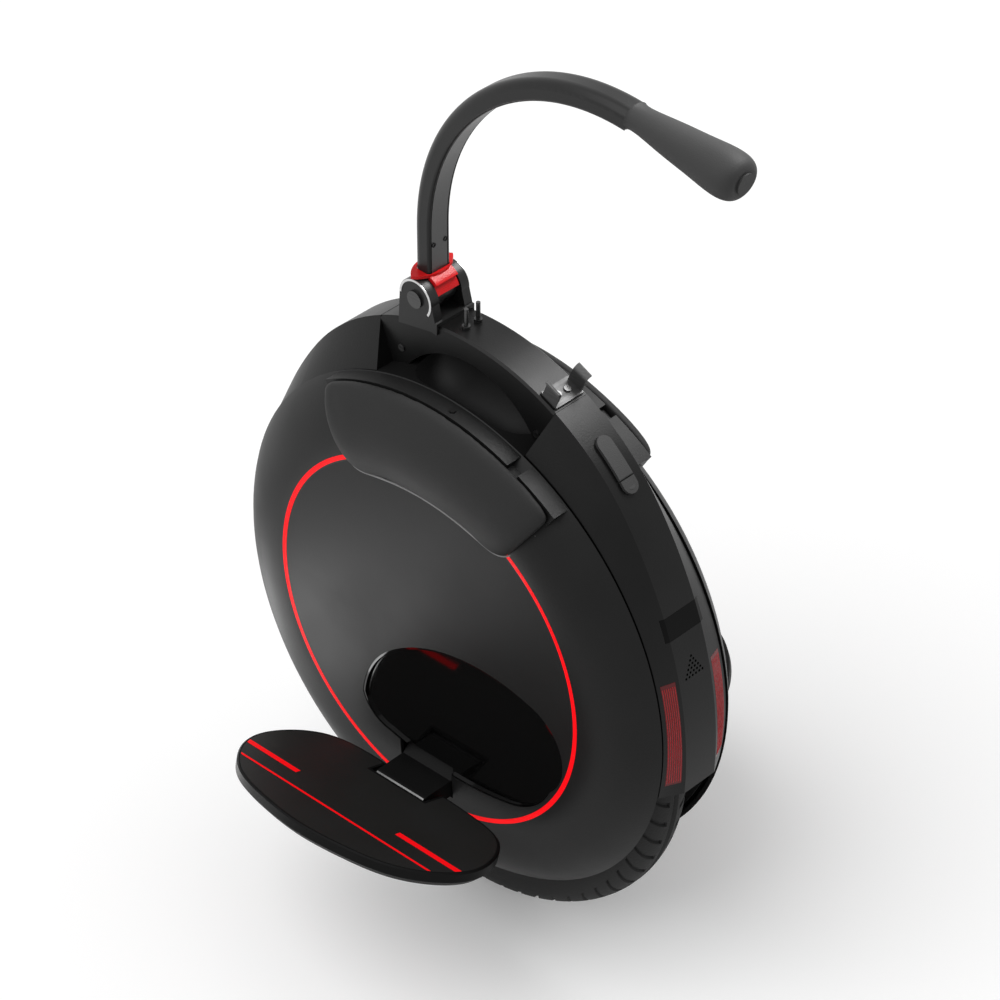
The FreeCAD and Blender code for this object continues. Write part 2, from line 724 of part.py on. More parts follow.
def bracket_screws():
    screws = []
    for x in (-BRACKET_SCREW_X, BRACKET_SCREW_X):
        for rise in BRACKET_SCREW_RISES:
            z = PEDAL_PIN_Z + rise
            shank = drum(BRACKET_SCREW_RADIUS, HANGER_OUTER - BRACKET_SCREW_DEPTH, FLANGE_OUTER, x, z)
            head = drum(BRACKET_HEAD_RADIUS, FLANGE_OUTER, FLANGE_OUTER + BRACKET_HEAD_HEIGHT, x, z)
            screws.append(canted(joined([shank, head])))
    return screws


def axle_plate():
    """Steel hanger that carries the axle above and the pedal bracket below."""
    low = PEDAL_PIN_Z - BRACKET_NOSE - HANGER_FOOT
    high = AXLE_Z + HANGER_RISE
    corner = HANGER_CORNER
    bulge = ROUND_SHARE * corner
    half = HANGER_HALF
    outline = wire(
        flat(PLATE_OUTER),
        (-half, low),
        (half, low),
        (half, high - corner),
        ((half - bulge, high - bulge), (half - corner, high)),
        (corner - half, high),
        ((bulge - half, high - bulge), (-half, high - corner)),
    )
    plate = prism(outline, y=HANGER_WALL).cut(drum(AXLE_RADIUS, PLATE_OUTER, HANGER_OUTER, 0, AXLE_Z))
    for screw in hanger_bolts() + bracket_screws():
        plate = plate.cut(screw)
    return firm(plate)


def axle_nut():
    corner = NUT_SPAN / math.sqrt(3)
    stops = [polar(corner, 60 * index, 0, AXLE_Z) for index in range(6)]
    nut = prism(wire(flat(HANGER_OUTER), *stops), y=NUT_HEIGHT)
    return firm(nut.cut(drum(AXLE_RADIUS, HANGER_OUTER, HANGER_OUTER + NUT_HEIGHT, 0, AXLE_Z)))


# Pedals
def pedal_bracket():
    """Bent plate with a rounded nose, seen from the end and drawn out along X."""
    nose = BRACKET_NOSE
    y, z = PEDAL_PIN_Y, PEDAL_PIN_Z
    outline = wire(
        lambda a, b: V(-BRACKET_HALF, a, b),
        (HANGER_OUTER, z - nose - BRACKET_FOOT),
        (FLANGE_OUTER, z - nose - BRACKET_FOOT),
        (FLANGE_OUTER, z - nose),
        (y, z - nose),
        ((y + nose, z), (y, z + nose)),
        (APEX_Y - 2, z + nose),
        (FLANGE_OUTER, z + nose + BRACKET_KNEE),
        (FLANGE_OUTER, z + nose + BRACKET_RISE),
        (HANGER_OUTER, z + nose + BRACKET_RISE),
    )
    bracket = canted(prism(outline, x=2 * BRACKET_HALF)).cut(pedal_pin())
    for screw in bracket_screws():
        bracket = bracket.cut(screw)
    return firm(bracket)


def pin_rod(radius, half):
    return Part.makeCylinder(radius, 2 * half, V(-half, 0, 0), V(1, 0, 0))


def pedal_pin():
    pin = pin_rod(PEDAL_PIN_RADIUS, PEDAL_PIN_HALF)
    pin.translate(V(0, PEDAL_PIN_Y, PEDAL_PIN_Z))
    return canted(pin)


def oval(inset, w):
    """Pedal outline about its pin: a full outer side, round ends and a flatter side along the pin."""
    a = PEDAL_LENGTH / 2 - inset
    b = PEDAL_DEPTH / 2 - inset
    middle = PEDAL_DEPTH / 2 - PEDAL_BACK
    inner = [(0.50, -0.985), (0.79, -0.85), (0.955, -0.47), (0.995, 0.0)]
    outer = [(0.89, 0.41), (0.69, 0.73), (0.37, 0.92)]
    half = inner + outer
    stops = [(0, -1)] + half + [(0, 1)] + [(-u, v) for u, v in half[::-1]]
    curve = Part.BSplineCurve()
    curve.interpolate([V(PEDAL_SHIFT + a * u, middle + b * v, w) for u, v in stops], True)
    return Part.Wire(curve.toShape())


def placed_pedal(shape):
    """Moves a shape drawn about the pin's axis to its place, tilted up outwards."""
    shape.rotate(V(0, 0, 0), V(1, 0, 0), PEDAL_TILT)
    shape.translate(V(0, PEDAL_PIN_Y, PEDAL_PIN_Z))
    return firm(canted(shape))


def pedal_slot(margin):
    half = BRACKET_HALF + SLOT_GAP + margin
    front = BRACKET_NOSE + NOSE_GAP + margin
    return block(-half, half, -PEDAL_DEPTH, front, -PEDAL_THICKNESS, PEDAL_THICKNESS)


def pedal_plate():
    """Plate with a sloped edge below, a pocket for its sheet and a slot round the bracket."""
    half = PEDAL_THICKNESS / 2
    knee = PEDAL_TAPER - half
    lower = Part.makeLoft([oval(PEDAL_TAPER, -half), oval(0, knee)], True, True)
    upper = prism(oval(0, knee), z=half - 1 - knee)
    crown = Part.makeLoft([oval(0, half - 1), oval(1, half)], True, True)
    plate = joined([lower, upper, crown])
    plate = plate.cut(prism(oval(SHEET_MARGIN, half - SHEET_THICKNESS), z=PEDAL_THICKNESS))
    lip = prism(oval(SHEET_MARGIN, half - SHEET_THICKNESS), z=SHEET_THICKNESS)
    plate = plate.fuse(lip.common(pedal_slot(SHEET_MARGIN - INLAY_GAP))).cut(pedal_slot(0))
    bore = pin_rod(PEDAL_PIN_RADIUS + RUN_FIT, PEDAL_PIN_HALF + FACE_GAP)
    return placed_pedal(plate.cut(bore))


def pedal_sheet():
    low = PEDAL_THICKNESS / 2 - SHEET_THICKNESS
    sheet = prism(oval(SHEET_MARGIN + INLAY_GAP, low), z=SHEET_THICKNESS)
    return placed_pedal(sheet.cut(pedal_slot(SHEET_MARGIN)))


# Spine
def side_curve():
    """Centre and radius of the arc that carries the top curve on down to the foot."""
    angle = math.radians(TANGENT_ANGLE)
    tx, tz = -TOP_RADIUS * math.cos(angle), TOP_Z + TOP_RADIUS * math.sin(angle)
    dx, dz = math.cos(angle), -math.sin(angle)
    gx, gz = tx + SPINE_FOOT_X, tz - SPINE_FOOT_Z
    radius = -(gx**2 + gz**2) / (2 * (gx * dx + gz * dz))
    return tx + radius * dx, tz + radius * dz, radius


def seam_point(circle, centre_z):
    """Where the seam's line from the shell centre crosses a circle about (0, centre_z)."""
    angle = math.radians(SEAM_ANGLE)
    drop = centre_z - SHELL_Z
    reach = drop * math.sin(angle) + math.sqrt(circle**2 - (drop * math.cos(angle)) ** 2)
    return -reach * math.cos(angle), SHELL_Z + reach * math.sin(angle)


def ridge_stops(inset, foot_z, end):
    """Foot, side arc and top arc of the spine's flat ridge."""
    cx, cz, radius = side_curve()
    top = TOP_RADIUS - inset
    low = (cx - math.sqrt((radius - inset) ** 2 - (foot_z - cz) ** 2), foot_z)
    knee = polar(top, 180 - TANGENT_ANGLE, 0, TOP_Z)
    low_angle = math.degrees(math.atan2(foot_z - cz, cx - low[0]))
    belly = polar(radius - inset, 180 - (low_angle + TANGENT_ANGLE) / 2, cx, cz)
    stop = end(top, TOP_Z)
    stop_angle = math.degrees(math.atan2(stop[1] - TOP_Z, stop[0]))
    middle = polar(top, (180 - TANGENT_ANGLE + stop_angle) / 2, 0, TOP_Z)
    return [low, (belly, knee), (middle, stop)]


def rim_stops(inset, foot_z, end):
    """The same three stops along the edge that meets the side shell."""
    circle = DECK_RADIUS - inset
    low = (-math.sqrt(circle**2 - (foot_z - SHELL_Z) ** 2), foot_z)
    low_angle = math.degrees(math.atan2(low[1] - SHELL_Z, low[0])) % 360
    stop = end(circle, SHELL_Z)
    stop_angle = math.degrees(math.atan2(stop[1] - SHELL_Z, stop[0]))
    knee_angle = 180 - TANGENT_ANGLE - 6
    knee = polar(circle, knee_angle, 0, SHELL_Z)
    belly = polar(circle, (low_angle + knee_angle) / 2, 0, SHELL_Z)
    return [low, (belly, knee), (polar(circle, (knee_angle + stop_angle) / 2, 0, SHELL_Z), stop)]


def spine_loft(inset, foot_z, end, back, well):
    """Body between the ridge and the two edges, closed at the back by the given stops."""
    foot = (-math.sqrt(well**2 - (foot_z - AXLE_Z) ** 2), foot_z)
    last = back[-1]
    angles = [math.degrees(math.atan2(z - AXLE_Z, x)) % 360 for x, z in (last, foot)]
    arch = (polar(well, sum(angles) / 2, 0, AXLE_Z), foot)
    flat_half = SPINE_FLAT_HALF - inset / 2
    edge_half = SPINE_HALF - inset
    sections = []
    for y in (-edge_half, -flat_half, flat_half, edge_half):
        stops = ridge_stops if abs(y) == flat_half else rim_stops
        sections.append(wire(flat(y), foot, *stops(inset, foot_z, end), *back, arch))
    return firm(Part.makeLoft(sections, True, True))


def spine_body(inset=0.0):
    """Solid of the rear spine, without its hollow."""
    well = WELL_OUTER + FACE_GAP
    ledge = polar(DECK_INNER - FACE_GAP, 180 - SEAM_ANGLE, 0, SHELL_Z)
    back = [ledge, (-CHAMBER_HALF, ledge[1]), (-CHAMBER_HALF, height_on(well, CHAMBER_HALF, AXLE_Z))]
    return spine_loft(inset, SPINE_FOOT_Z, seam_point, back, well)


def spine_shell():
    wall_x = CHAMBER_HALF + SPINE_WALL
    end = lambda circle, z: (-wall_x, height_on(circle, wall_x, z))
    open_well = WELL_OUTER - 2
    back = [(-wall_x, height_on(open_well, wall_x, AXLE_Z))]
    hollow = spine_loft(SPINE_WALL, SPINE_FOOT_Z + SPINE_WALL, end, back, open_well)
    return firm(spine_body().cut(hollow))


def spine_inlay(region, gap=0.0):
    """Slice of the spine's skin inside a region, to the inlay's depth."""
    return region.common(spine_body()).cut(spine_body(LENS_DEPTH + gap))


def window_region(gap):
    low = SHELL_Z + WINDOW_LOW - gap
    half = WINDOW_HALF + gap
    return block(-2 * SPINE_FOOT_X, -CHAMBER_HALF, -half, half, low, low + WINDOW_HEIGHT + 2 * gap)


def lamp_region(gap):
    low = SHELL_Z + LAMP_LOW - gap
    high = low + LAMP_HEIGHT + 2 * gap
    return block(-2 * SPINE_FOOT_X, -CHAMBER_HALF, LAMP_INNER - gap, LAMP_OUTER + gap, low, high)


def on_back(shape, z):
    """Turns a shape made at the side curve's rearmost point up to height z."""
    cx, cz, radius = side_curve()
    return turned(shape, -math.degrees(math.asin((z - cz) / radius)), cx, cz)


def on_top(shape, x):
    """Turns a shape made at the top of the bridge back along it to this x."""
    return turned(shape, math.degrees(math.asin(-x / TOP_RADIUS)), 0, TOP_Z)


def grille_holes():
    cx, cz, radius = side_curve()
    holes = []
    for row in range(GRILLE_ROWS):
        for index in range(row + 1):
            y = (index - row / 2) * GRILLE_PITCH
            z = cz + ((GRILLE_ROWS - 1) / 2 - row) * GRILLE_PITCH * 0.87
            holes.append(Part.makeCylinder(GRILLE_HOLE, 8, V(cx - radius - 2, y, z), V(1, 0, 0)))
    return [on_back(hole, SHELL_Z + GRILLE_RISE) for hole in holes]


def speaker():
    """Cone and magnet behind the sound holes."""
    cx, cz, radius = side_curve()
    back = V(cx - radius + SPINE_WALL + 2 * FACE_GAP, 0, cz)
    basket = Part.makeCone(SPEAKER_RADIUS, SPEAKER_RADIUS - 5, 7, back, V(1, 0, 0))
    magnet = Part.makeCylinder(8, 5, back + V(7, 0, 0), V(1, 0, 0))
    return on_back(joined([basket, magnet]), SHELL_Z + GRILLE_RISE)


def charge_socket():
    base = V(0, 0, TOP_Z + TOP_RADIUS - SOCKET_SINK - SOCKET_DEPTH)
    body = Part.makeCylinder(SOCKET_RADIUS, SOCKET_DEPTH, base, V(0, 0, 1))
    bore = Part.makeCylinder(SOCKET_BORE, SOCKET_DEPTH, base + V(0, 0, 3), V(0, 0, 1))
    return on_top(body.cut(bore), SOCKET_X)


def socket_hole():
    base = V(0, 0, TOP_Z + TOP_RADIUS - SOCKET_SINK - SOCKET_DEPTH)
    return on_top(Part.makeCylinder(SOCKET_RADIUS, 2 * SOCKET_DEPTH, base, V(0, 0, 1)), SOCKET_X)


def flap_pieces():
    """Rubber strip over the socket: the flap with its round hinge end, and the tail that stays down."""
    r = FLAP_WIDTH_HALF
    long = FLAP_HALF - r
    outline = wire(
        lambda x, y: V(x, y, TOP_Z),
        (-long, -r),
        (long, -r),
        ((long + r, 0), (long, r)),
        (-long, r),
        ((-long - r, 0), (-long, -r)),
    )
    low = TOP_RADIUS + FLAP_LIFT
    strip = prism(outline, z=2 * TOP_RADIUS).common(washer(low + FLAP_WALL, low, -r, r, 0, TOP_Z))
    axis_x = FLAP_TAIL - FLAP_HALF
    barrel = drum(FLAP_WALL / 2, -r, r, axis_x, height_on(low + FLAP_WALL / 2, axis_x, TOP_Z))
    tail_end = axis_x - FLAP_WALL / 2 - FLAP_SLIT
    moving = strip.common(block(axis_x, FLAP_HALF, -r, r, TOP_Z, TOP_Z + 2 * TOP_RADIUS))
    fixed = strip.common(block(-FLAP_HALF, tail_end, -r, r, TOP_Z, TOP_Z + 2 * TOP_RADIUS))
    foot = Part.makeCylinder(3.4, 3, V(-long, 0, height_on(low, long, TOP_Z) - 0.9), V(0, 0, 1))
    return on_top(joined([moving, barrel]), FLAP_X), on_top(joined([fixed, foot]), FLAP_X)


# Deck and bridge
def top_deck():
    side = SPINE_HALF
    flange = RIM_Y - FACE_GAP
    shelf = PLATE_RADIUS + FACE_GAP
    start = SEAM_ANGLE + 0.1
    stops = (
        (DECK_INNER, -side),
        (shelf, -side),
        (shelf, -flange),
        (DECK_RADIUS, -flange),
        (DECK_RADIUS, flange),
        (shelf, flange),
        (shelf, side),
        (DECK_INNER, side),
    )
    deck = spun(stops, z=SHELL_Z, start=start, sweep=180 - 2 * start)
    first, last = SCOOP_ANGLES
    bowl = Part.makeTorus(SCOOP_CENTRE, SCOOP_RADIUS, V(0, 0, SHELL_Z), V(0, 1, 0))
    corner = 2 * SCOOP_CENTRE
    sides = [polar(corner, angle, 0, SHELL_Z) for angle in (first, last)]
    bowl = bowl.common(prism(wire(flat(-corner), (0, SHELL_Z), *sides), y=2 * corner))
    deck = deck.cut(bowl)
    for angle in SCOOP_ANGLES:
        x, z = polar(SCOOP_CENTRE, angle, 0, SHELL_Z)
        deck = deck.cut(Part.makeSphere(SCOOP_RADIUS, V(x, 0, z)))
    return firm(deck)


def bridge_section(y, inset):
    top = TOP_RADIUS - inset
    rear = seam_point(top, TOP_Z)
    foot = seam_point(DECK_RADIUS, SHELL_Z)
    legs = [(x, height_on(DECK_RADIUS, x, SHELL_Z)) for x in (ARCH_FRONT_X, ARCH_REAR_X)]
    shift = FACE_GAP / math.sin(math.radians(SEAM_ANGLE))
    rear = (rear[0] + shift, rear[1])
    foot = (foot[0] + shift, height_on(DECK_RADIUS, foot[0] + shift, SHELL_Z))
    arch_top = (ARCH_TOP_X, height_on(TOP_RADIUS, ARCH_TOP_X, TOP_Z) - BRIDGE_DEPTH)
    middles = (ARCH_FRONT_X - foot[0]) / 2, (ARCH_REAR_X + foot[0]) / 2
    halfway = [(x, height_on(DECK_RADIUS, x, SHELL_Z)) for x in middles]
    return wire(
        flat(y),
        rear,
        ((0, TOP_Z + top), (-rear[0], rear[1])),
        (-foot[0], foot[1]),
        (halfway[0], legs[0]),
        (arch_top, legs[1]),
        (halfway[1], foot),
    )


def handle_bridge():
    side = BRIDGE_HALF - BRIDGE_CHAMFER
    levels = (-BRIDGE_HALF, BRIDGE_CHAMFER), (-side, 0), (side, 0), (BRIDGE_HALF, BRIDGE_CHAMFER)
    bridge = firm(Part.makeLoft([bridge_section(*level) for level in levels], True, True))
    for fastener in side_screws() + clip_screws() + studs():
        bridge = bridge.cut(fastener)
    return firm(bridge)


def side_screws():
    """Screws in the sides of the bridge's feet."""
    screws = []
    for end, (out, rise) in zip((ARCH_FRONT_X, ARCH_REAR_X), FOOT_SCREWS):
        x = end + math.copysign(out, end)
        z = height_on(DECK_RADIUS, x, SHELL_Z) + rise
        head = drum(FOOT_HEAD_RADIUS, BRIDGE_HALF, BRIDGE_HALF + FOOT_HEAD_HEIGHT, x, z)
        shank = drum(FOOT_SCREW_RADIUS, BRIDGE_HALF - FOOT_SCREW_LENGTH, BRIDGE_HALF, x, z)
        screw = joined([shank, head])
        screws += [screw, mirrored(screw)]
    return screws


def studs():
    """Threaded studs, each on a collar that is pressed into the bridge."""
    low = height_on(TOP_RADIUS, STUD_X, TOP_Z)
    up = V(0, 0, 1)
    shapes = []
    for y in (-STUD_SPACING / 2, STUD_SPACING / 2):
        foot = V(STUD_X, y, low - STUD_SUNK)
        seat = V(STUD_X, y, low + STUD_COLLAR)
        collar = Part.makeCylinder(STUD_COLLAR_RADIUS, STUD_SUNK + STUD_COLLAR, foot, up)
        thread = Part.makeCylinder(STUD_RADIUS, STUD_HEIGHT - STUD_COLLAR, seat, up)
        shapes.append(joined([collar, thread]))
    return shapes


def clip_x():
    return seam_point(TOP_RADIUS, TOP_Z)[0] + CLIP_INSET


def arm_clip():
    """Steel channel with turned-out tips."""
    base = TOP_Z + TOP_RADIUS + INLAY_GAP
    half = CLIP_LENGTH / 2
    shapes = [block(-half, half, -CLIP_HALF, CLIP_HALF, base, base + CLIP_WALL)]
    for side in (-1, 1):
        profile = wire(
            lambda y, z: V(CLIP_WING_INSET - half, side * y, base + z),
            (CLIP_HALF - CLIP_WALL, 0),
            (CLIP_HALF, 0),
            (CLIP_HALF, CLIP_HEIGHT - 4),
            ((CLIP_HALF + 0.8, CLIP_HEIGHT - 1.8), (CLIP_HALF + 3, CLIP_HEIGHT - 0.8)),
            (CLIP_HALF + 2.6, CLIP_HEIGHT + 0.6),
            ((CLIP_HALF - 0.4, CLIP_HEIGHT - 1.2), (CLIP_HALF - CLIP_WALL, CLIP_HEIGHT - 4)),
        )
        shapes.append(prism(profile, x=CLIP_LENGTH - 2 * CLIP_WING_INSET))
    clip = on_top(joined(shapes), clip_x())
    for screw in clip_screws():
        clip = clip.cut(screw)
    return firm(clip)


def clip_screws():
    base = TOP_Z + TOP_RADIUS + INLAY_GAP + CLIP_WALL
    screws = []
    for y in (-CLIP_SCREW_SPACING / 2, CLIP_SCREW_SPACING / 2):
        head = Part.makeCylinder(CLIP_HEAD_RADIUS, CLIP_HEAD_HEIGHT, V(0, y, base), V(0, 0, 1))
        tip = V(0, y, base - CLIP_SCREW_LENGTH)
        shank = Part.makeCylinder(CLIP_SCREW_RADIUS, CLIP_SCREW_LENGTH, tip, V(0, 0, 1))
        screws.append(on_top(joined([head, shank]), clip_x()))
    return screws


# Handle arm
def hinge_base():
    """Two ears on skirts that straddle the bridge, tied by a floor and a cross bar."""
    x, z = HINGE_X, HINGE_Z
    top_z = z - HINGE_RISE
    front = x + SKIRT_FRONT, top_z - SKIRT_FRONT_DROP
    rear = x - SKIRT_REAR, top_z - SKIRT_REAR_DROP
    skirt = (x - EAR_RADIUS, z), (x + EAR_RADIUS, z), front, rear
    shapes = []
    for y0, y1 in ((EAR_INNER, EAR_OUTER), (-EAR_OUTER, -EAR_INNER)):
        shapes.append(drum(EAR_RADIUS, y0, y1, x, z))
        shapes.append(prism(wire(flat(y0), *skirt), y=y1 - y0))
    floor_z = z - KNUCKLE_RADIUS - KNUCKLE_CLEARANCE
    floor = block(x - FLOOR_HALF, x + FLOOR_HALF, -EAR_INNER, EAR_INNER, top_z - FLOOR_DEPTH, floor_z)
    bar = block(rear[0], rear[0] + BAR_WIDTH, -EAR_OUTER, EAR_OUTER, top_z - BAR_DEPTH, floor_z + BAR_RISE)
    shapes += [floor, bar]
    base = joined(shapes).cut(drum(PIN_RADIUS, -EAR_OUTER, EAR_OUTER, x, z))
    blank = drum(TOP_RADIUS, -BRIDGE_HALF - INLAY_GAP, BRIDGE_HALF + INLAY_GAP, 0, TOP_Z)
    return firm(base.cut(blank))


def hinge_pin():
    shapes = [drum(PIN_RADIUS, -EAR_OUTER, EAR_OUTER, HINGE_X, HINGE_Z)]
    end = EAR_OUTER + PIN_HEAD_HEIGHT
    for y0, y1 in ((EAR_OUTER, end), (-end, -EAR_OUTER)):
        shapes.append(drum(PIN_HEAD_RADIUS, y0, y1, HINGE_X, HINGE_Z))
    return joined(shapes)


def arm_face(grow=0.0):
    """Arm section at the start of the bend, rounder on the outer side."""
    half = ARM_DEPTH / 2 + grow
    wide = ARM_WIDTH / 2 + grow
    front = ARM_OUTER_ROUND
    rear = ARM_INNER_ROUND
    front_bulge = ROUND_SHARE * front
    rear_bulge = ROUND_SHARE * rear
    return wire(
        lambda u, y: V(ARM_X + u, y, BEND_Z),
        (-half, rear - wide),
        ((rear_bulge - half, rear_bulge - wide), (rear - half, -wide)),
        (half - front, -wide),
        ((half - front_bulge, front_bulge - wide), (half, front - wide)),
        (half, wide - front),
        ((half - front_bulge, wide - front_bulge), (half - front, wide)),
        (rear - half, wide),
        ((rear_bulge - half, wide - rear_bulge), (-half, wide - rear)),
    )


def strip_face(half, depth, proud):
    back = ARM_X - ARM_DEPTH / 2
    stops = (back - proud, -half), (back + depth, -half), (back + depth, half), (back - proud, half)
    return wire(lambda x, y: V(x, y, BEND_Z), *stops)


def along_arm(outline, foot_z):
    """Straight run and bend of one section, as a single solid."""
    face = Part.Face(outline)
    run = face.extrude(V(0, 0, foot_z - BEND_Z))
    bend = face.revolve(V(BEND_X, 0, BEND_Z), NEG_Y, ARM_SWEEP)
    return joined([firm(run), firm(bend)])


def at_bend_end(shape):
    """Turns a shape made upright at the bend's start to the bend's end."""
    return turned(firm(shape), ARM_SWEEP, BEND_X, BEND_Z)


def tenon():
    return Part.makeCylinder(TENON_RADIUS, TENON_LENGTH, V(ARM_X, 0, BEND_Z), V(0, 0, 1))


def arm_tube():
    knuckle = drum(KNUCKLE_RADIUS, -KNUCKLE_HALF, KNUCKLE_HALF, HINGE_X, HINGE_Z)
    tube = joined([along_arm(arm_face(), HINGE_Z), at_bend_end(tenon()), knuckle])
    groove = strip_face(STRIP_HALF + STRIP_GROOVE, STRIP_DEPTH, 1)
    tube = tube.cut(along_arm(groove, HINGE_Z + KNUCKLE_RADIUS + 1))
    return firm(tube.cut(drum(PIN_RADIUS + RUN_FIT, -KNUCKLE_HALF, KNUCKLE_HALF, HINGE_X, HINGE_Z)))


def arm_strip():
    return along_arm(strip_face(STRIP_HALF, STRIP_DEPTH, 0), HINGE_Z + KNUCKLE_RADIUS + 1 + FACE_GAP)


def arm_grip():
    """Flared rubber grip."""
    first, last = GRIP_ENDS
    sections = []
    for share, half_depth, half_width in ((0, *first), *GRIP_FLARE, (1, *last)):
        centre = V(ARM_X, 0, BEND_Z + share * GRIP_LENGTH)
        ellipse = Part.Ellipse(centre + V(0, half_width, 0), centre + V(half_depth, 0, 0), centre)
        sections.append(Part.Wire(ellipse.toShape()))
    return at_bend_end(firm(Part.makeLoft(sections, True, False)).cut(tenon()))


def grip_cap():
    base = V(ARM_X, 0, BEND_Z + GRIP_LENGTH)
    return at_bend_end(Part.makeCylinder(CAP_RADIUS, CAP_HEIGHT, base, V(0, 0, 1)))


def arm_latch():
    """Red collar with finger tips, and a tongue that drops between the ears."""
    z = HINGE_Z + LATCH_LIFT
    place = lambda u, y: V(ARM_X + u, y, z)
    front = (LATCH_BELLY, 0), (0, LATCH_TIP)
    rear = (-LATCH_BELLY, 0), (0, -LATCH_TIP)
    collar = prism(wire(place, (0, -LATCH_TIP), front, rear), z=LATCH_WALL)
    width = KNUCKLE_HALF - FACE_GAP
    near = KNUCKLE_RADIUS + FACE_GAP
    shapes = [collar]
    lip = EAR_RADIUS + LATCH_LIP, LATCH_LIP_END
    tongue = near + LATCH_TONGUE, LATCH_TONGUE_END
    for far, last in (lip, tongue):
        stops = ((near, -width), (far, -width), (far, width), (near, width))
        shapes.append(spun(stops, HINGE_X, HINGE_Z, LATCH_START, last - LATCH_START))
    latch = joined(shapes)
    hole = Part.Face(arm_face(2 * INLAY_GAP)).extrude(V(0, 0, -2 * ARM_STRAIGHT))
    return firm(latch.cut(hole))


# Electrics
def battery_pack():
    outer = CROWN_RADIUS - 2
    deep = CROWN_Y - SHELL_WALL - 0.4
    near = PLATE_OUTER + 0.2
    stops = (BATTERY_INNER, near), (outer, near), (outer, deep), (BATTERY_INNER, deep)
    return spun(stops, 0, SHELL_Z, BATTERY_ANGLE, 180 - 2 * BATTERY_ANGLE)


def cable_channel():
    half = CABLE_RADIUS + 3
    return block(-half, half, -APEX_Y, -PLATE_OUTER, SHELL_Z, SHELL_Z + CROWN_RADIUS)


def cable_hole():
    return drum(CABLE_RADIUS + 1, -PLATE_OUTER, -PLATE_INNER, 0, CABLE_Z)


def motor_cable():
    """Lead from the axle's end, up the right-hand side and in to the control board."""
    start = V(0, -CABLE_Y, AXLE_Z + AXLE_RADIUS)
    corner = V(0, -CABLE_Y, CABLE_Z)
    before = corner - V(0, 0, CABLE_BEND)
    after = corner + V(0, CABLE_BEND, 0)
    slack = CABLE_BEND * (1 - math.sqrt(0.5))
    middle = corner + V(0, slack, -slack)
    end = V(0, -PLUG_Y, CABLE_Z)
    edges = [Part.LineSegment(start, before), Part.Arc(before, middle, after), Part.LineSegment(after, end)]
    path = Part.Wire([edge.toShape() for edge in edges])
    section = Part.Wire(Part.Circle(start, V(0, 0, 1), CABLE_RADIUS).toShape())
    cable = firm(path.makePipeShell([section], True, False))
    return firm(cable.cut(drum(AXLE_RADIUS, -AXLE_HALF, AXLE_HALF, 0, AXLE_Z)))


def heat_sink():
    width = PLATE_INNER - 5
    sink = block(-SINK_HALF, SINK_HALF, -width, width, SEAT_Z, BOARD_Z)
    pitch = 2 * width / (FIN_SLOTS + 0.5)
    for index in range(FIN_SLOTS):
        y0 = -width + pitch * (index + 0.5)
        sink = sink.cut(block(-SINK_HALF, SINK_HALF, y0, y0 + pitch / 2, SEAT_Z + SINK_BASE, BOARD_Z))
    return firm(sink)


def control_board():
    top = BOARD_Z + BOARD_WALL
    shapes = [block(-BOARD_HALF, BOARD_HALF, -BOARD_WIDTH_HALF, BOARD_WIDTH_HALF, BOARD_Z, top)]
    half = PLUG_SIZE / 2 + 1
    shapes.append(block(-half, half, -PLUG_Y, PLUG_SIZE - PLUG_Y, top, top + PLUG_SIZE))
    for x in DRUM_XS:
        shapes.append(Part.makeCylinder(DRUM_RADIUS, DRUM_HEIGHT, V(x, DRUM_HEIGHT, top), V(0, 0, 1)))
    return joined(shapes)


def both_sides(shapes):
    return [piece for shape in shapes for piece in (shape, mirrored(shape))]


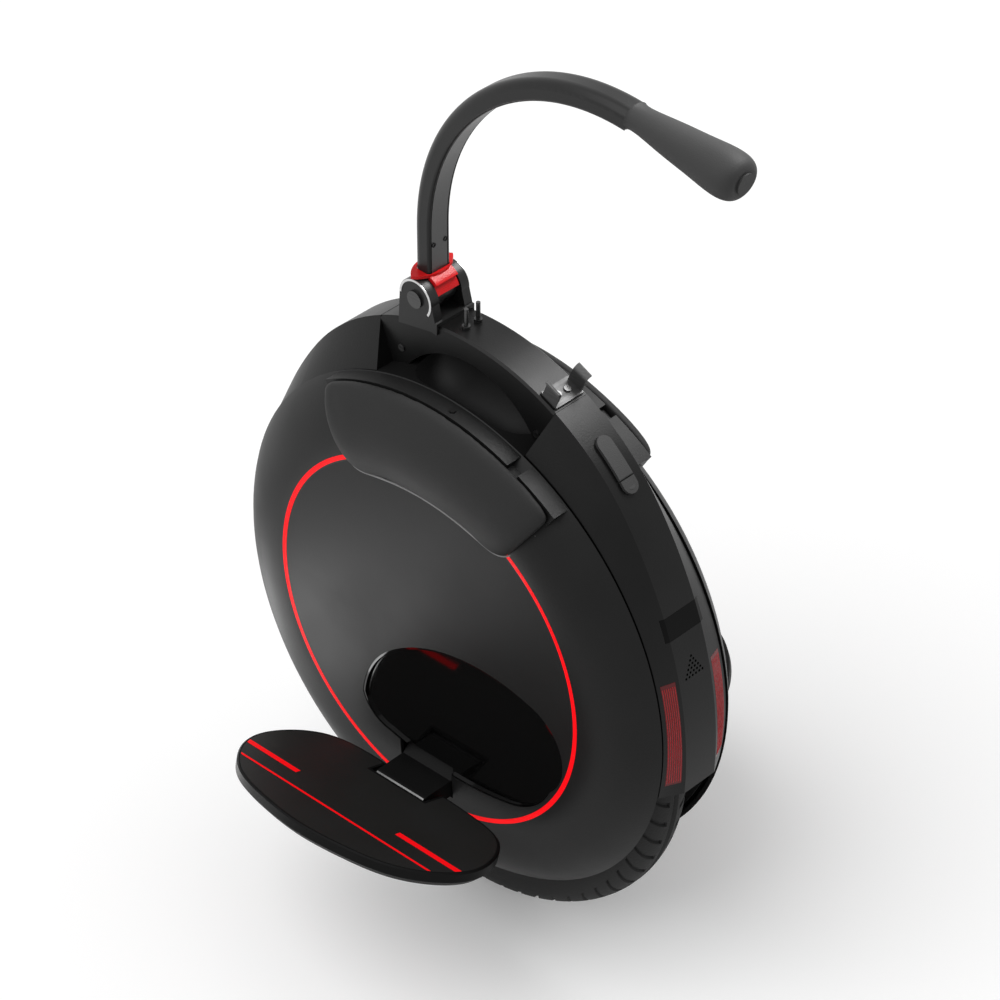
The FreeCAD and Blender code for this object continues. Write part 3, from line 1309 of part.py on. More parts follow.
def build():
    os.makedirs("parts", exist_ok=True)
    save("main_frame", main_frame())
    save_pair("side_shell", side_shell())
    save("side_shell_screws", *both_sides(shell_screws()))
    save_pair("trim_ring", trim_ring())
    save_pair("gloss_tray", gloss_tray())
    save_pair("leg_pad", leg_pad())

    blank = spine_shell()
    window = spine_inlay(window_region(0))
    window_pocket = spine_inlay(window_region(INLAY_GAP), INLAY_GAP)
    lamp = spine_inlay(lamp_region(0))
    lamp_pocket = spine_inlay(lamp_region(INLAY_GAP), INLAY_GAP)
    flap, tail = flap_pieces()
    rear = blank
    for cutter in [window_pocket, lamp_pocket, mirrored(lamp_pocket), socket_hole(), tail] + grille_holes():
        rear = rear.cut(cutter)
    front = blank.cut(window_pocket).mirror(V(0, 0, 0), V(1, 0, 0))
    save("rear_spine", firm(rear))
    save("front_spine", firm(front))
    save_pair("tail_lamp", firm(lamp))
    save("rear_window", firm(window))
    save("headlamp_lens", firm(window.mirror(V(0, 0, 0), V(1, 0, 0))))
    save("speaker", speaker())
    save("charge_socket", charge_socket())
    save("charge_flap", flap)
    save("flap_tail", tail)
    save("power_button", power_button())

    save("top_deck", top_deck())
    save("handle_bridge", handle_bridge())
    save("bridge_screws", *side_screws(), *clip_screws())
    save("accessory_studs", *studs())
    save("arm_clip", arm_clip())
    save("hinge_base", hinge_base())
    save("hinge_pin", hinge_pin())
    save("arm_tube", arm_tube())
    save("arm_strip", arm_strip())
    save("arm_grip", arm_grip())
    save("grip_cap", grip_cap())
    save("arm_latch", arm_latch())

    save("tyre", tyre())
    save("inner_tube", inner_tube())
    save("wheel_rim", wheel_rim())
    save("valve_stem", valve_stem())
    save("magnet_ring", washer(RIM_BORE, MAGNET_BORE, -STATOR_HALF, STATOR_HALF, 0, AXLE_Z))
    screws = cover_screws()
    cover = motor_cover()
    for screw in screws:
        cover = cover.cut(screw)
    save_pair("motor_cover", firm(cover))
    save("motor_cover_screws", *screws)
    save("wheel_bearings", bearing(), mirrored(bearing()))
    save("axle", axle())
    save("axle_nuts", axle_nut(), mirrored(axle_nut()))
    core, copper = stator()
    save("stator_core", core)
    save("stator_windings", copper, mirrored(copper))

    save("axle_plates", axle_plate(), mirrored(axle_plate()))
    save("pedal_mount_screws", *both_sides(hanger_bolts() + bracket_screws()))
    save_pair("pedal_bracket", pedal_bracket())
    save("pedal_pins", pedal_pin(), mirrored(pedal_pin()))
    save_pair("pedal_plate", pedal_plate())
    save_pair("pedal_sheet", pedal_sheet())

    save("left_battery_pack", battery_pack())
    save("right_battery_pack", firm(mirrored(battery_pack()).cut(cable_channel())))
    save("heat_sink", heat_sink())
    save("control_board", control_board())
    save("motor_cable", motor_cable())


build()
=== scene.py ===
# %% [markdown]
# # Electric unicycle with a folding handle arm
# The frame holds every solid of the unicycle at its real size, already grouped into the bodies that move.
# This lesson dresses it: a camera where the picture was taken from, a white studio, one finish for each
# material, and the pieces that a solid model can't give, such as a treaded tyre and soft leg pads.

# %% Load the frame
import math

import bmesh
import bpy
from mathutils import Matrix, Vector


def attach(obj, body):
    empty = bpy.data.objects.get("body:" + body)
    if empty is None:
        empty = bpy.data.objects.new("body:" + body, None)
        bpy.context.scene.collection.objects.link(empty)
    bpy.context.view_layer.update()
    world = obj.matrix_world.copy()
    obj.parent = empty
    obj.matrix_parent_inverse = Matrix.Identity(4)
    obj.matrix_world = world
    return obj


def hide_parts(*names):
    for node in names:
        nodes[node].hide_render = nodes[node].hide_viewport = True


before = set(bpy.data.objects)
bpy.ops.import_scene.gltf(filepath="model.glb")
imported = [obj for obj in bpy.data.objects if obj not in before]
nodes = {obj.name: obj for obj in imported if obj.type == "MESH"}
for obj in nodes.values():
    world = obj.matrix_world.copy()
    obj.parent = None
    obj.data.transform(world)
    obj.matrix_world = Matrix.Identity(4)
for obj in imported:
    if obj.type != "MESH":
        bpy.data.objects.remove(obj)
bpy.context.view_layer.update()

# %% [markdown]
# ## Camera
# The view is from behind, on the rider's left, looking down. The angle, distance and lens were found by
# matching points of the wheel, the ring and the pedal to the picture, so they are plain numbers here.

# %% Camera
MM = 0.001
PHOTO_AZIMUTH = math.radians(224.14)
PHOTO_ELEVATION = math.radians(37.36)
PHOTO_DISTANCE = 2.5
PHOTO_LENS = 136.9
SENSOR_WIDTH = 36
AIM = Vector((-15.73, 0, 331.7)) * MM

level = math.cos(PHOTO_ELEVATION)
ahead = math.sin(PHOTO_AZIMUTH) * level
aside = -math.cos(PHOTO_AZIMUTH) * level
to_camera = Vector((ahead, aside, math.sin(PHOTO_ELEVATION)))
camera_data = bpy.data.cameras.new("photo_camera")
camera_data.lens = PHOTO_LENS
camera_data.sensor_width = SENSOR_WIDTH
camera = bpy.data.objects.new("photo_camera", camera_data)
camera.location = AIM + to_camera * PHOTO_DISTANCE
camera.rotation_euler = to_camera.to_track_quat("Z", "Y").to_euler()
bpy.context.scene.collection.objects.link(camera)
bpy.context.scene.camera = camera
print("camera at", [round(v, 3) for v in camera.location])

# %% [markdown]
# ## Studio
# A black object on white needs light that is even on the floor and shaped on the object. The world is a
# dim dome as a lamp, and white to the camera and to reflections. A wide sun from the left puts the soft
# shadow under and behind the wheel. A panel high beyond the object is mirrored by faces that look up and
# back, a weak one on the left lifts the leg pads, and a low card draws the lower edge of the shell. More
# sun would do the same but would wash out the floor. Light linking keeps the three panels off it, so that
# they shape the object and leave the white even.

# %% Studio
bpy.context.scene.view_settings.view_transform = "Standard"


def link(tree, start, end):
    tree.links.new(start, end)


def seen_directly(tree):
    """One where the camera, a reflection or a refraction looks, and zero for the light itself."""
    path = tree.nodes.new("ShaderNodeLightPath")
    total = path.outputs["Is Camera Ray"]
    for name in ("Is Glossy Ray", "Is Transmission Ray"):
        either = tree.nodes.new("ShaderNodeMath")
        either.operation = "MAXIMUM"
        link(tree, total, either.inputs[0])
        link(tree, path.outputs[name], either.inputs[1])
        total = either.outputs[0]
    return total


DOME_LIGHT = 0.62
SUN_LIGHT = 1.5
FLOOR_GLOW = 0.12
FLOOR_HALF = 8
FLOOR_WHITE = (0.95, 0.95, 0.95, 1)
FLOOR_ROUGHNESS = 0.9
WHITE = (1, 1, 1, 1)

world = bpy.data.worlds.new("white_studio")
world.use_nodes = True
bpy.context.scene.world = world
sky = world.node_tree
sky_light = sky.nodes["Background"]
sky_light.inputs["Color"].default_value = WHITE
sky_level = sky.nodes.new("ShaderNodeMapRange")
sky_level.inputs["To Min"].default_value = DOME_LIGHT
sky_level.inputs["To Max"].default_value = 1.0
link(sky, seen_directly(sky), sky_level.inputs["Value"])
link(sky, sky_level.outputs["Result"], sky_light.inputs["Strength"])


def lamp(name, kind, place, aim, energy, **settings):
    data = bpy.data.lights.new(name, kind)
    data.energy = energy
    for key, value in settings.items():
        setattr(data, key, value)
    lamp_object = bpy.data.objects.new(name, data)
    lamp_object.location = place
    lamp_object.rotation_euler = (Vector(place) - Vector(aim)).to_track_quat("Z", "Y").to_euler()
    bpy.context.scene.collection.objects.link(lamp_object)
    return lamp_object


def soft_panel(name, place, aim, watts, width, height):
    return lamp(name, "AREA", place, aim, watts, shape="RECTANGLE", size=width, size_y=height)


SUN_PLACE = (0.8, 2.0, 2.9)
SUN_SPREAD = math.radians(60)
GROUND = (0, 0, 0)
BRIDGE = (-0.05, 0, 0.44)
PADS = (0, 0, 0.3)
SHELL_EDGE = (0.1, 0.05, 0.13)
lamp("left_sun", "SUN", SUN_PLACE, GROUND, SUN_LIGHT, angle=SUN_SPREAD)
panels = [
    soft_panel("back_panel", place=(-0.18, -1.1, 1.97), aim=BRIDGE, watts=50, width=1.1, height=0.7),
    soft_panel("left_panel", place=(0.7, 1.6, 1.2), aim=PADS, watts=5, width=0.8, height=0.8),
    soft_panel("low_card", place=(0.25, 0.15, 0.02), aim=SHELL_EDGE, watts=0.4, width=0.3, height=0.14),
]

floor_mesh = bpy.data.meshes.new("studio_floor")
floor_shape = bmesh.new()
bmesh.ops.create_grid(floor_shape, x_segments=2, y_segments=2, size=FLOOR_HALF)
floor_shape.to_mesh(floor_mesh)
floor_shape.free()
floor = bpy.data.objects.new("studio_floor", floor_mesh)
bpy.context.scene.collection.objects.link(floor)
floor_paint = bpy.data.materials.new("floor_white")
floor_paint.use_nodes = True
floor_bsdf = floor_paint.node_tree.nodes["Principled BSDF"]
floor_bsdf.inputs["Base Color"].default_value = FLOOR_WHITE
floor_bsdf.inputs["Roughness"].default_value = FLOOR_ROUGHNESS
floor_bsdf.inputs["Specular IOR Level"].default_value = 0.0
floor_bsdf.inputs["Emission Color"].default_value = WHITE
floor_glow = floor_paint.node_tree.nodes.new("ShaderNodeMath")
floor_glow.operation = "MULTIPLY"
floor_glow.inputs[1].default_value = FLOOR_GLOW
link(floor_paint.node_tree, seen_directly(floor_paint.node_tree), floor_glow.inputs[0])
link(floor_paint.node_tree, floor_glow.outputs[0], floor_bsdf.inputs["Emission Strength"])
floor_mesh.materials.append(floor_paint)

spared = bpy.data.collections.new("spared_by_panels")
spared.objects.link(floor)
spared.collection_objects[0].light_linking.link_state = "EXCLUDE"
for panel in panels:
    panel.light_linking.receiver_collection = spared
    panel.visible_camera = False

# %% [markdown]
# ## Effects that finishes share
# Moulded plastic is never one flat colour: handling leaves soft cloudy patches and the mould leaves a fine
# grain. Both are noise at two scales, so they live in one node group with named inputs. Metal gets a
# second group, with noise drawn out into lines. Groups put out only what changes over the surface.

# %% Shared node groups
def start_group(name, inputs, outputs):
    group = bpy.data.node_groups.new(name, "ShaderNodeTree")
    for label, kind in inputs:
        group.interface.new_socket(label, in_out="INPUT", socket_type=kind)
    for label, kind in outputs:
        group.interface.new_socket(label, in_out="OUTPUT", socket_type=kind)
    return group, group.nodes.new("NodeGroupInput"), group.nodes.new("NodeGroupOutput")


VALUE = "NodeSocketFloat"
COLOUR = "NodeSocketColor"
PATCH_DETAIL = 3.0
GRAIN_DETAIL = 1.0
PATCH_RANGE = (0.3, 0.7)
DRAWN_OUT = (1, 1, 14)


def noise_on(group, scale_socket, detail, stretch=None):
    """Noise on Object coordinates, drawn out along an axis where stretch says so."""
    place = group.nodes.new("ShaderNodeTexCoord")
    noise = group.nodes.new("ShaderNodeTexNoise")
    noise.inputs["Detail"].default_value = detail
    source = place.outputs["Object"]
    if stretch:
        mapping = group.nodes.new("ShaderNodeMapping")
        mapping.inputs["Scale"].default_value = stretch
        link(group, source, mapping.inputs["Vector"])
        source = mapping.outputs["Vector"]
    link(group, source, noise.inputs["Vector"])
    link(group, scale_socket, noise.inputs["Scale"])
    return noise.outputs["Fac"]


def surface_group(name, stretch=None):
    """Cloudy colour and roughness from one noise, fine height from another."""
    group, given, result = start_group(
        name,
        [("Colour", COLOUR), ("Worn Colour", COLOUR), ("Smooth", VALUE), ("Rough", VALUE)]
        + [("Patch Scale", VALUE), ("Grain Scale", VALUE)],
        [("Colour", COLOUR), ("Roughness", VALUE), ("Height", VALUE)],
    )
    patches = noise_on(group, given.outputs["Patch Scale"], PATCH_DETAIL, stretch)
    spread = group.nodes.new("ShaderNodeMapRange")
    spread.inputs["From Min"].default_value = PATCH_RANGE[0]
    spread.inputs["From Max"].default_value = PATCH_RANGE[1]
    link(group, patches, spread.inputs["Value"])
    tint = group.nodes.new("ShaderNodeMix")
    tint.data_type = "RGBA"
    link(group, spread.outputs["Result"], tint.inputs["Factor"])
    link(group, given.outputs["Colour"], tint.inputs["A"])
    link(group, given.outputs["Worn Colour"], tint.inputs["B"])
    sheen = group.nodes.new("ShaderNodeMapRange")
    link(group, spread.outputs["Result"], sheen.inputs["Value"])
    link(group, given.outputs["Smooth"], sheen.inputs["To Min"])
    link(group, given.outputs["Rough"], sheen.inputs["To Max"])
    link(group, tint.outputs["Result"], result.inputs["Colour"])
    link(group, sheen.outputs["Result"], result.inputs["Roughness"])
    grain = noise_on(group, given.outputs["Grain Scale"], GRAIN_DETAIL, stretch)
    link(group, grain, result.inputs["Height"])
    return group


moulded_surface = surface_group("moulded_surface")
drawn_metal = surface_group("drawn_metal", stretch=DRAWN_OUT)
print("groups:", [g.name for g in bpy.data.node_groups])

# %% [markdown]
# ## Finishes
# Each finish is a Principled shader fed by a group. The plastics are nearly black and reflect little, so
# their grey comes from the white studio at glancing angles: that is what draws the curve of the shells.
# A lower specular level keeps the faces that look at the camera dark. Values that don't change over the
# surface, such as that level or the painted red glow of the trim, are set on the shader itself.

# %% Finishes
GRAIN_STRENGTH = 0.6


def finish(name, colour, worn, rough, patch=14, grain=900, bump=0.0001, group=moulded_surface, **sockets):
    """A material named by its use; colour and worn are greys or linear red, green and blue."""
    material = bpy.data.materials.new(name)
    material.use_nodes = True
    tree = material.node_tree
    shader = tree.nodes["Principled BSDF"]
    effect = tree.nodes.new("ShaderNodeGroup")
    effect.node_tree = group
    for socket, value in (("Colour", colour), ("Worn Colour", worn)):
        rgb = value if isinstance(value, tuple) else (value, value, value)
        effect.inputs[socket].default_value = (*rgb, 1)
    effect.inputs["Smooth"].default_value = rough[0]
    effect.inputs["Rough"].default_value = rough[1]
    effect.inputs["Patch Scale"].default_value = patch
    effect.inputs["Grain Scale"].default_value = grain
    relief = tree.nodes.new("ShaderNodeBump")
    relief.inputs["Strength"].default_value = GRAIN_STRENGTH
    relief.inputs["Distance"].default_value = bump
    link(tree, effect.outputs["Colour"], shader.inputs["Base Color"])
    link(tree, effect.outputs["Roughness"], shader.inputs["Roughness"])
    link(tree, effect.outputs["Height"], relief.inputs["Height"])
    link(tree, relief.outputs["Normal"], shader.inputs["Normal"])
    for key, value in sockets.items():
        shader.inputs[key.replace("_", " ")].default_value = value
    return material


def metal(name, colour, worn, rough, **sockets):
    drawn = {"patch": 60, "grain": 700, "bump": 0.00002, "group": drawn_metal}
    return finish(name, colour, worn, rough, **drawn, Metallic=1, **sockets)


MATT = {"Specular_IOR_Level": 0.05}
DULL = {"Specular_IOR_Level": 0.15}
SATIN = {"Specular_IOR_Level": 0.22}

shell_black = finish("shell_black", 0.005, 0.007, (0.40, 0.50), **DULL)
satin_black = finish("satin_black", 0.003, 0.005, (0.32, 0.42), **DULL)
deck_black = finish("deck_black", 0.004, 0.006, (0.55, 0.65), **MATT)
frame_black = finish("frame_black", 0.004, 0.006, (0.6, 0.75), **DULL)
gloss_black = finish("gloss_black", 0.0015, 0.002, (0.03, 0.08), bump=0.000005)
sheet_black = finish("sheet_black", (0.014, 0.013, 0.012), 0.016, (0.36, 0.46), grain=1800, **DULL)
pad_skin = finish("pad_skin", 0.013, 0.018, (0.55, 0.68), grain=1500, bump=0.0002, **DULL)
# Pale grey for the pad's edge line: a painted highlight where the pad's seam catches the light.
painted_highlight_grey = finish("painted_highlight_grey", 0.18, 0.22, (0.5, 0.6), **DULL)
grip_rubber = finish("grip_rubber", 0.022, 0.029, (0.5, 0.62), grain=1300, bump=0.0002, **SATIN)
tyre_rubber = finish("tyre_rubber", 0.010, 0.016, (0.6, 0.75), grain=700, bump=0.0003, **DULL)
black_paint = finish("black_paint", 0.007, 0.010, (0.30, 0.38), grain=1600, **SATIN)
pedal_black = finish("pedal_black", 0.004, 0.006, (0.38, 0.46), grain=1600, **MATT)
strip_grey = finish("strip_grey", 0.022, 0.028, (0.34, 0.42), grain=1600)
smoked_lens = finish("smoked_lens", 0.003, 0.004, (0.08, 0.14), bump=0.000005, **MATT)
clear_lens = finish("clear_lens", (0.85, 0.87, 0.9), 0.82, (0.05, 0.12), Transmission_Weight=0.7)

RED = (0.86, 0.004, 0.008)
# The trim rings and pedal stripes glow a little though they are no lamps: a painted glow on their red.
PAINTED_GLOW = {"Emission_Color": (*RED, 1), "Emission_Strength": 0.3}
red_with_painted_glow = finish("red_with_painted_glow", RED, (0.80, 0.004, 0.007), (0.35, 0.45), **MATT, **PAINTED_GLOW)
lamp_red = finish("lamp_red", (0.10, 0.006, 0.008), (0.07, 0.005, 0.006), (0.2, 0.3), **SATIN)
# The ribs are the lens's own plastic; their lighter red is a painted highlight for the light they catch.
rib_red_painted_highlight = finish("rib_red_painted_highlight", (0.36, 0.012, 0.016), (0.30, 0.010, 0.012), (0.2, 0.3), **SATIN)
CLEAR_RED = (0.52, 0.009, 0.011)
latch_red = finish("latch_red", CLEAR_RED, (0.46, 0.008, 0.009), (0.2, 0.3), Transmission_Weight=0.2, **MATT)

bright_steel = metal("bright_steel", 0.62, 0.52, (0.25, 0.36))
clip_steel = metal("clip_steel", 0.085, 0.065, (0.5, 0.6))
# Light steel for the bracket noses: a painted highlight for the light that the nose's edge catches.
nose_highlight_steel = metal("nose_highlight_steel", 0.17, 0.13, (0.4, 0.5))
dark_steel = metal("dark_steel", 0.06, 0.09, (0.3, 0.42))
cast_alloy = metal("cast_alloy", 0.45, 0.38, (0.4, 0.55))
iron_stack = metal("iron_stack", 0.2, 0.15, (0.4, 0.5))
copper_wire = metal("copper_wire", (0.72, 0.3, 0.12), (0.6, 0.22, 0.08), (0.3, 0.4))
battery_wrap = finish("battery_wrap", (0.03, 0.06, 0.22), (0.04, 0.08, 0.26), (0.3, 0.45))
board_green = finish("board_green", (0.02, 0.14, 0.05), (0.03, 0.18, 0.06), (0.4, 0.5), patch=60)
print("finishes:", len(bpy.data.materials))

# %% [markdown]
# ## Finishes on the solids
# The solids whose shape is already right keep it and only take a finish. A list of node names for each
# finish is easier to read and to change than a line for each node. The tyre and the pads are in it too, so
# that every node has a finish, though later cells put better shapes in their place.

# %% Finishes on the solids
FINISHED = {
    shell_black: "left_side_shell right_side_shell",
    deck_black: "top_deck",
    satin_black: "front_spine rear_spine handle_bridge power_button",
    frame_black: "main_frame speaker charge_socket motor_cable",
    gloss_black: "left_gloss_tray right_gloss_tray",
    sheet_black: "left_pedal_sheet right_pedal_sheet",
    red_with_painted_glow: "left_trim_ring right_trim_ring",
    lamp_red: "left_tail_lamp right_tail_lamp",
    latch_red: "arm_latch",
    pad_skin: "left_leg_pad right_leg_pad",
    grip_rubber: "arm_grip grip_cap charge_flap flap_tail inner_tube",
    tyre_rubber: "tyre",
    black_paint: "hinge_base arm_tube",
    pedal_black: "left_pedal_plate right_pedal_plate left_pedal_bracket right_pedal_bracket",
    strip_grey: "arm_strip",
    smoked_lens: "rear_window",
    clear_lens: "headlamp_lens",
    bright_steel: "axle axle_nuts wheel_bearings valve_stem",
    clip_steel: "arm_clip",
    dark_steel: "accessory_studs hinge_pin bridge_screws side_shell_screws motor_cover_screws"
    " pedal_mount_screws pedal_pins axle_plates",
    cast_alloy: "wheel_rim left_motor_cover right_motor_cover heat_sink",
    iron_stack: "stator_core magnet_ring",
    copper_wire: "stator_windings",
    battery_wrap: "left_battery_pack right_battery_pack",
    board_green: "control_board",
}
for material, names in FINISHED.items():
    for name in names.split():
        nodes[name].data.materials.clear()
        nodes[name].data.materials.append(material)
print("finished:", sum(len(names.split()) for names in FINISHED.values()), "of", len(nodes))

# %% [markdown]
# ## Making a piece
# Every new piece starts as a bmesh in the object's own frame, in metres, so its object stays at the origin.
# This helper turns the bmesh into an object, smooths it up to a crease angle and ties it to its body.

# %% Making a piece
def piece(shape, name, body, material, crease=35):
    mesh = bpy.data.meshes.new(name)
    bmesh.ops.recalc_face_normals(shape, faces=shape.faces)
    shape.to_mesh(mesh)
    shape.free()
    mesh.materials.append(material)
    mesh.shade_smooth()
    mesh.set_sharp_from_angle(angle=math.radians(crease))
    made = bpy.data.objects.new(name, mesh)
    bpy.context.scene.collection.objects.link(made)
    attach(made, body)
    print(name, "faces:", len(mesh.polygons))
    return made


# %% [markdown]
# ## Tyre
# The tyre is a tube whose crown carries a centre groove and rows of curved cuts across each shoulder.
# Cutting a solid for each groove would be slow, so the tread is pressed into one mesh. A ring of vertices
# is the section, and a full spin makes the carcass. Every fourth column of shoulder faces is inset and
# sunk for the cuts, then each vertex is turned about the axle by how far out it lies, which sweeps the
# cuts back as on the real tread.

# %% Tyre
AXLE = Vector((0, 0, 178)) * MM
SECTION_RADIUS = 27 * MM
SECTION_CENTRE = 151 * MM
BEAD_RADIUS = 127.4 * MM
SECTION_STEPS = 64
TREAD_STEPS = 240
CUT_EVERY = 4
CUT_DEPTH = 1.7 * MM
CUT_MARGIN = 1.2 * MM
CUT_ANGLES = (14, 58)
GROOVE_DEPTH = 2.0 * MM
ON_CENTRE = 0.1 * MM
TREAD_MERGE = 1e-6
SWEEP = math.radians(7)
SWEEP_UNIT = 60  # degrees round the section where the turn is SWEEP
SWEEP_END = 75


def section_angle(point):
    """Angle round the tyre's section: 0 at the crown, growing down both sides."""
    reach = math.hypot(point.x, point.z - AXLE.z) - SECTION_CENTRE
    return abs(math.degrees(math.atan2(point.y, reach)))


tread = bmesh.new()
bmesh.ops.create_circle(tread, segments=SECTION_STEPS, radius=SECTION_RADIUS)
for vert in tread.verts:
    out = SECTION_CENTRE + vert.co.x
    if abs(vert.co.y) < ON_CENTRE and vert.co.x > 0:
        out -= GROOVE_DEPTH
    vert.co = Vector((max(out, BEAD_RADIUS), vert.co.y, AXLE.z))
section = tread.verts[:] + tread.edges[:]
bmesh.ops.spin(
    tread, geom=section, cent=AXLE, axis=(0, 1, 0), angle=2 * math.pi, steps=TREAD_STEPS, use_merge=True
)
bmesh.ops.remove_doubles(tread, verts=tread.verts, dist=TREAD_MERGE)


def is_cut(face):
    middle = face.calc_center_median()
    column = math.floor(math.atan2(middle.z - AXLE.z, middle.x) / (2 * math.pi) * TREAD_STEPS + 0.5)
    shift = CUT_EVERY // 2 if middle.y > 0 else 0
    return column % CUT_EVERY == shift and CUT_ANGLES[0] < section_angle(middle) < CUT_ANGLES[1]


cuts = [face for face in tread.faces if is_cut(face)]
bmesh.ops.inset_region(tread, faces=cuts, thickness=CUT_MARGIN, depth=-CUT_DEPTH, use_even_offset=True)
for vert in tread.verts:
    turn = SWEEP * (min(section_angle(vert.co), SWEEP_END) / SWEEP_UNIT) ** 2
    vert.co = AXLE + Matrix.Rotation(turn, 3, "Y") @ (vert.co - AXLE)
tyre = piece(tread, "treaded_tyre", "wheel", tyre_rubber, crease=30)
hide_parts("tyre")

# %% [markdown]
# ## Leg pads
# Each pad is foam under a soft skin, crowned in the middle and drawn in at its edges. Cloth with a little
# air pressure gives that, where a bevelled block would look hard. The solid is copied, merged and remeshed
# into even cells. Its back is pinned, the front is blown up for some frames and no point may move further
# than a cap. Rounds of smoothing then draw the edges in. The right pad is the left one mirrored.

# %% Leg pads
PAD_CELL = 1.6 * MM
PAD_PASSES = 10
PAD_CAP = 3.0 * MM
PAD_FRAMES = 16
PAD_PRESSURE = 4
PAD_STIFFNESS = 20
PAD_SMOOTHING = 0.5
BACK_NORMAL = -0.25
SOLID_MERGE = 1e-5


def evaluated_mesh(thing):
    graph = bpy.context.evaluated_depsgraph_get()
    return bpy.data.meshes.new_from_object(thing.evaluated_get(graph))


def even_cells(node, name):
    """A merged copy of a solid, remeshed into even cells."""
    shape = bmesh.new()
    shape.from_mesh(nodes[node].data)
    bmesh.ops.remove_doubles(shape, verts=shape.verts, dist=SOLID_MERGE)
    mesh = bpy.data.meshes.new(name)
    shape.to_mesh(mesh)
    shape.free()
    thing = bpy.data.objects.new(name, mesh)
    bpy.context.scene.collection.objects.link(thing)
    cells = thing.modifiers.new("cells", "REMESH")
    cells.mode = "VOXEL"
    cells.voxel_size = PAD_CELL
    even = evaluated_mesh(thing)
    thing.modifiers.clear()
    thing.data = even
    return thing


def blow_up(thing):
    """Fills the pad with air, then keeps the result within the cap."""
    start = [vert.co.copy() for vert in thing.data.vertices]
    held = thing.vertex_groups.new(name="held")
    held.add([v.index for v in thing.data.vertices if v.normal.y < BACK_NORMAL], 1.0, "REPLACE")
    cloth = thing.modifiers.new("air", "CLOTH")
    cloth.settings.vertex_group_mass = "held"
    cloth.settings.use_pressure = True
    cloth.settings.uniform_pressure_force = PAD_PRESSURE
    cloth.settings.tension_stiffness = PAD_STIFFNESS
    cloth.settings.compression_stiffness = PAD_STIFFNESS
    cloth.settings.effector_weights.gravity = 0
    cloth.point_cache.frame_end = PAD_FRAMES
    for step in range(1, PAD_FRAMES + 1):
        bpy.context.scene.frame_set(step)
    blown = evaluated_mesh(thing)
    thing.modifiers.clear()
    for vert, first, now in zip(thing.data.vertices, start, blown.vertices):
        move = now.co - first
        vert.co = first + move.normalized() * min(move.length, PAD_CAP)
    bpy.context.scene.frame_set(1)


pad_form = even_cells("left_leg_pad", "pad_form")
blow_up(pad_form)
for side, turn in (("left", 1), ("right", -1)):
    pad_shape = bmesh.new()
    pad_shape.from_mesh(pad_form.data)
    axes = {"use_axis_x": True, "use_axis_y": True, "use_axis_z": True}
    for _ in range(PAD_PASSES):
        bmesh.ops.smooth_vert(pad_shape, verts=pad_shape.verts, factor=PAD_SMOOTHING, **axes)
    bmesh.ops.scale(pad_shape, vec=(1, turn, 1), verts=pad_shape.verts)
    pad = piece(pad_shape, f"{side}_soft_pad", "chassis", pad_skin, crease=180)
    smooth = pad.modifiers.new("smooth", "SUBSURF")
    smooth.levels = smooth.render_levels = 1
    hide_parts(f"{side}_leg_pad")
bpy.data.objects.remove(pad_form)

# %% [markdown]
# ## Pad edge highlight
# A pale line is a painted highlight: it stands in for the light that the rounded seam catches where each pad
# meets its shell, along both ends and the inner edge. Its path is the pad's outline: a list of angles from
# straight up and radii about the shell's centre, laid on the shallow dome of the shell. A thin round curve
# follows it and becomes a mesh, because a curve keeps the same thickness round every bend.

# %% Pad edge highlight
SHELL_CENTRE_Z = 231.5
CROWN_RADIUS = 136.7
CROWN_Y = 55.0
APEX_Y = 57.5
SHOULDER_END = (176.0, 46.6)
SHOULDER_SLOPE = 0.35
HIGHLIGHT_RADIUS = 0.75
HIGHLIGHT_LIFT = 0.6
FRONT_END = -31.5
REAR_END = 33.9
HIGHLIGHT_MIDDLE = 124.2
HIGHLIGHT_TURNS = ((1, 170), (1, 150), (0.97, 138), (0.86, 129.3), (0.6, 126.4), (0.3, 124.7))


def shell_point(angle, radius):
    """Point on the left shell, from an angle towards the rear and a radius about the shell's centre."""
    if radius <= CROWN_RADIUS:
        y = APEX_Y - (APEX_Y - CROWN_Y) * (radius / CROWN_RADIUS) ** 2
    else:
        end_radius, end_y = SHOULDER_END
        share = (radius - CROWN_RADIUS) / (end_radius - CROWN_RADIUS)
        y = CROWN_Y + (end_y - CROWN_Y) * (SHOULDER_SLOPE * share + (1 - SHOULDER_SLOPE) * share**2)
    turn = math.radians(angle)
    height = SHELL_CENTRE_Z + radius * math.cos(turn)
    return Vector((-radius * math.sin(turn), y + HIGHLIGHT_LIFT, height)) * MM


def curve_mesh(name, lines, thickness):
    """Round tubes along smooth lines, as one mesh."""
    data = bpy.data.curves.new(name, "CURVE")
    data.dimensions = "3D"
    data.bevel_depth = thickness
    data.bevel_resolution = 1
    data.use_fill_caps = True
    for points in lines:
        line = data.splines.new("NURBS")
        line.points.add(len(points) - 1)
        for control, point in zip(line.points, points):
            control.co = (*point, 1)
        line.order_u = 3
        line.use_endpoint_u = True
    holder = bpy.data.objects.new(name, data)
    bpy.context.scene.collection.objects.link(holder)
    tubes = bmesh.new()
    tubes.from_mesh(evaluated_mesh(holder))
    bpy.data.objects.remove(holder)
    return tubes


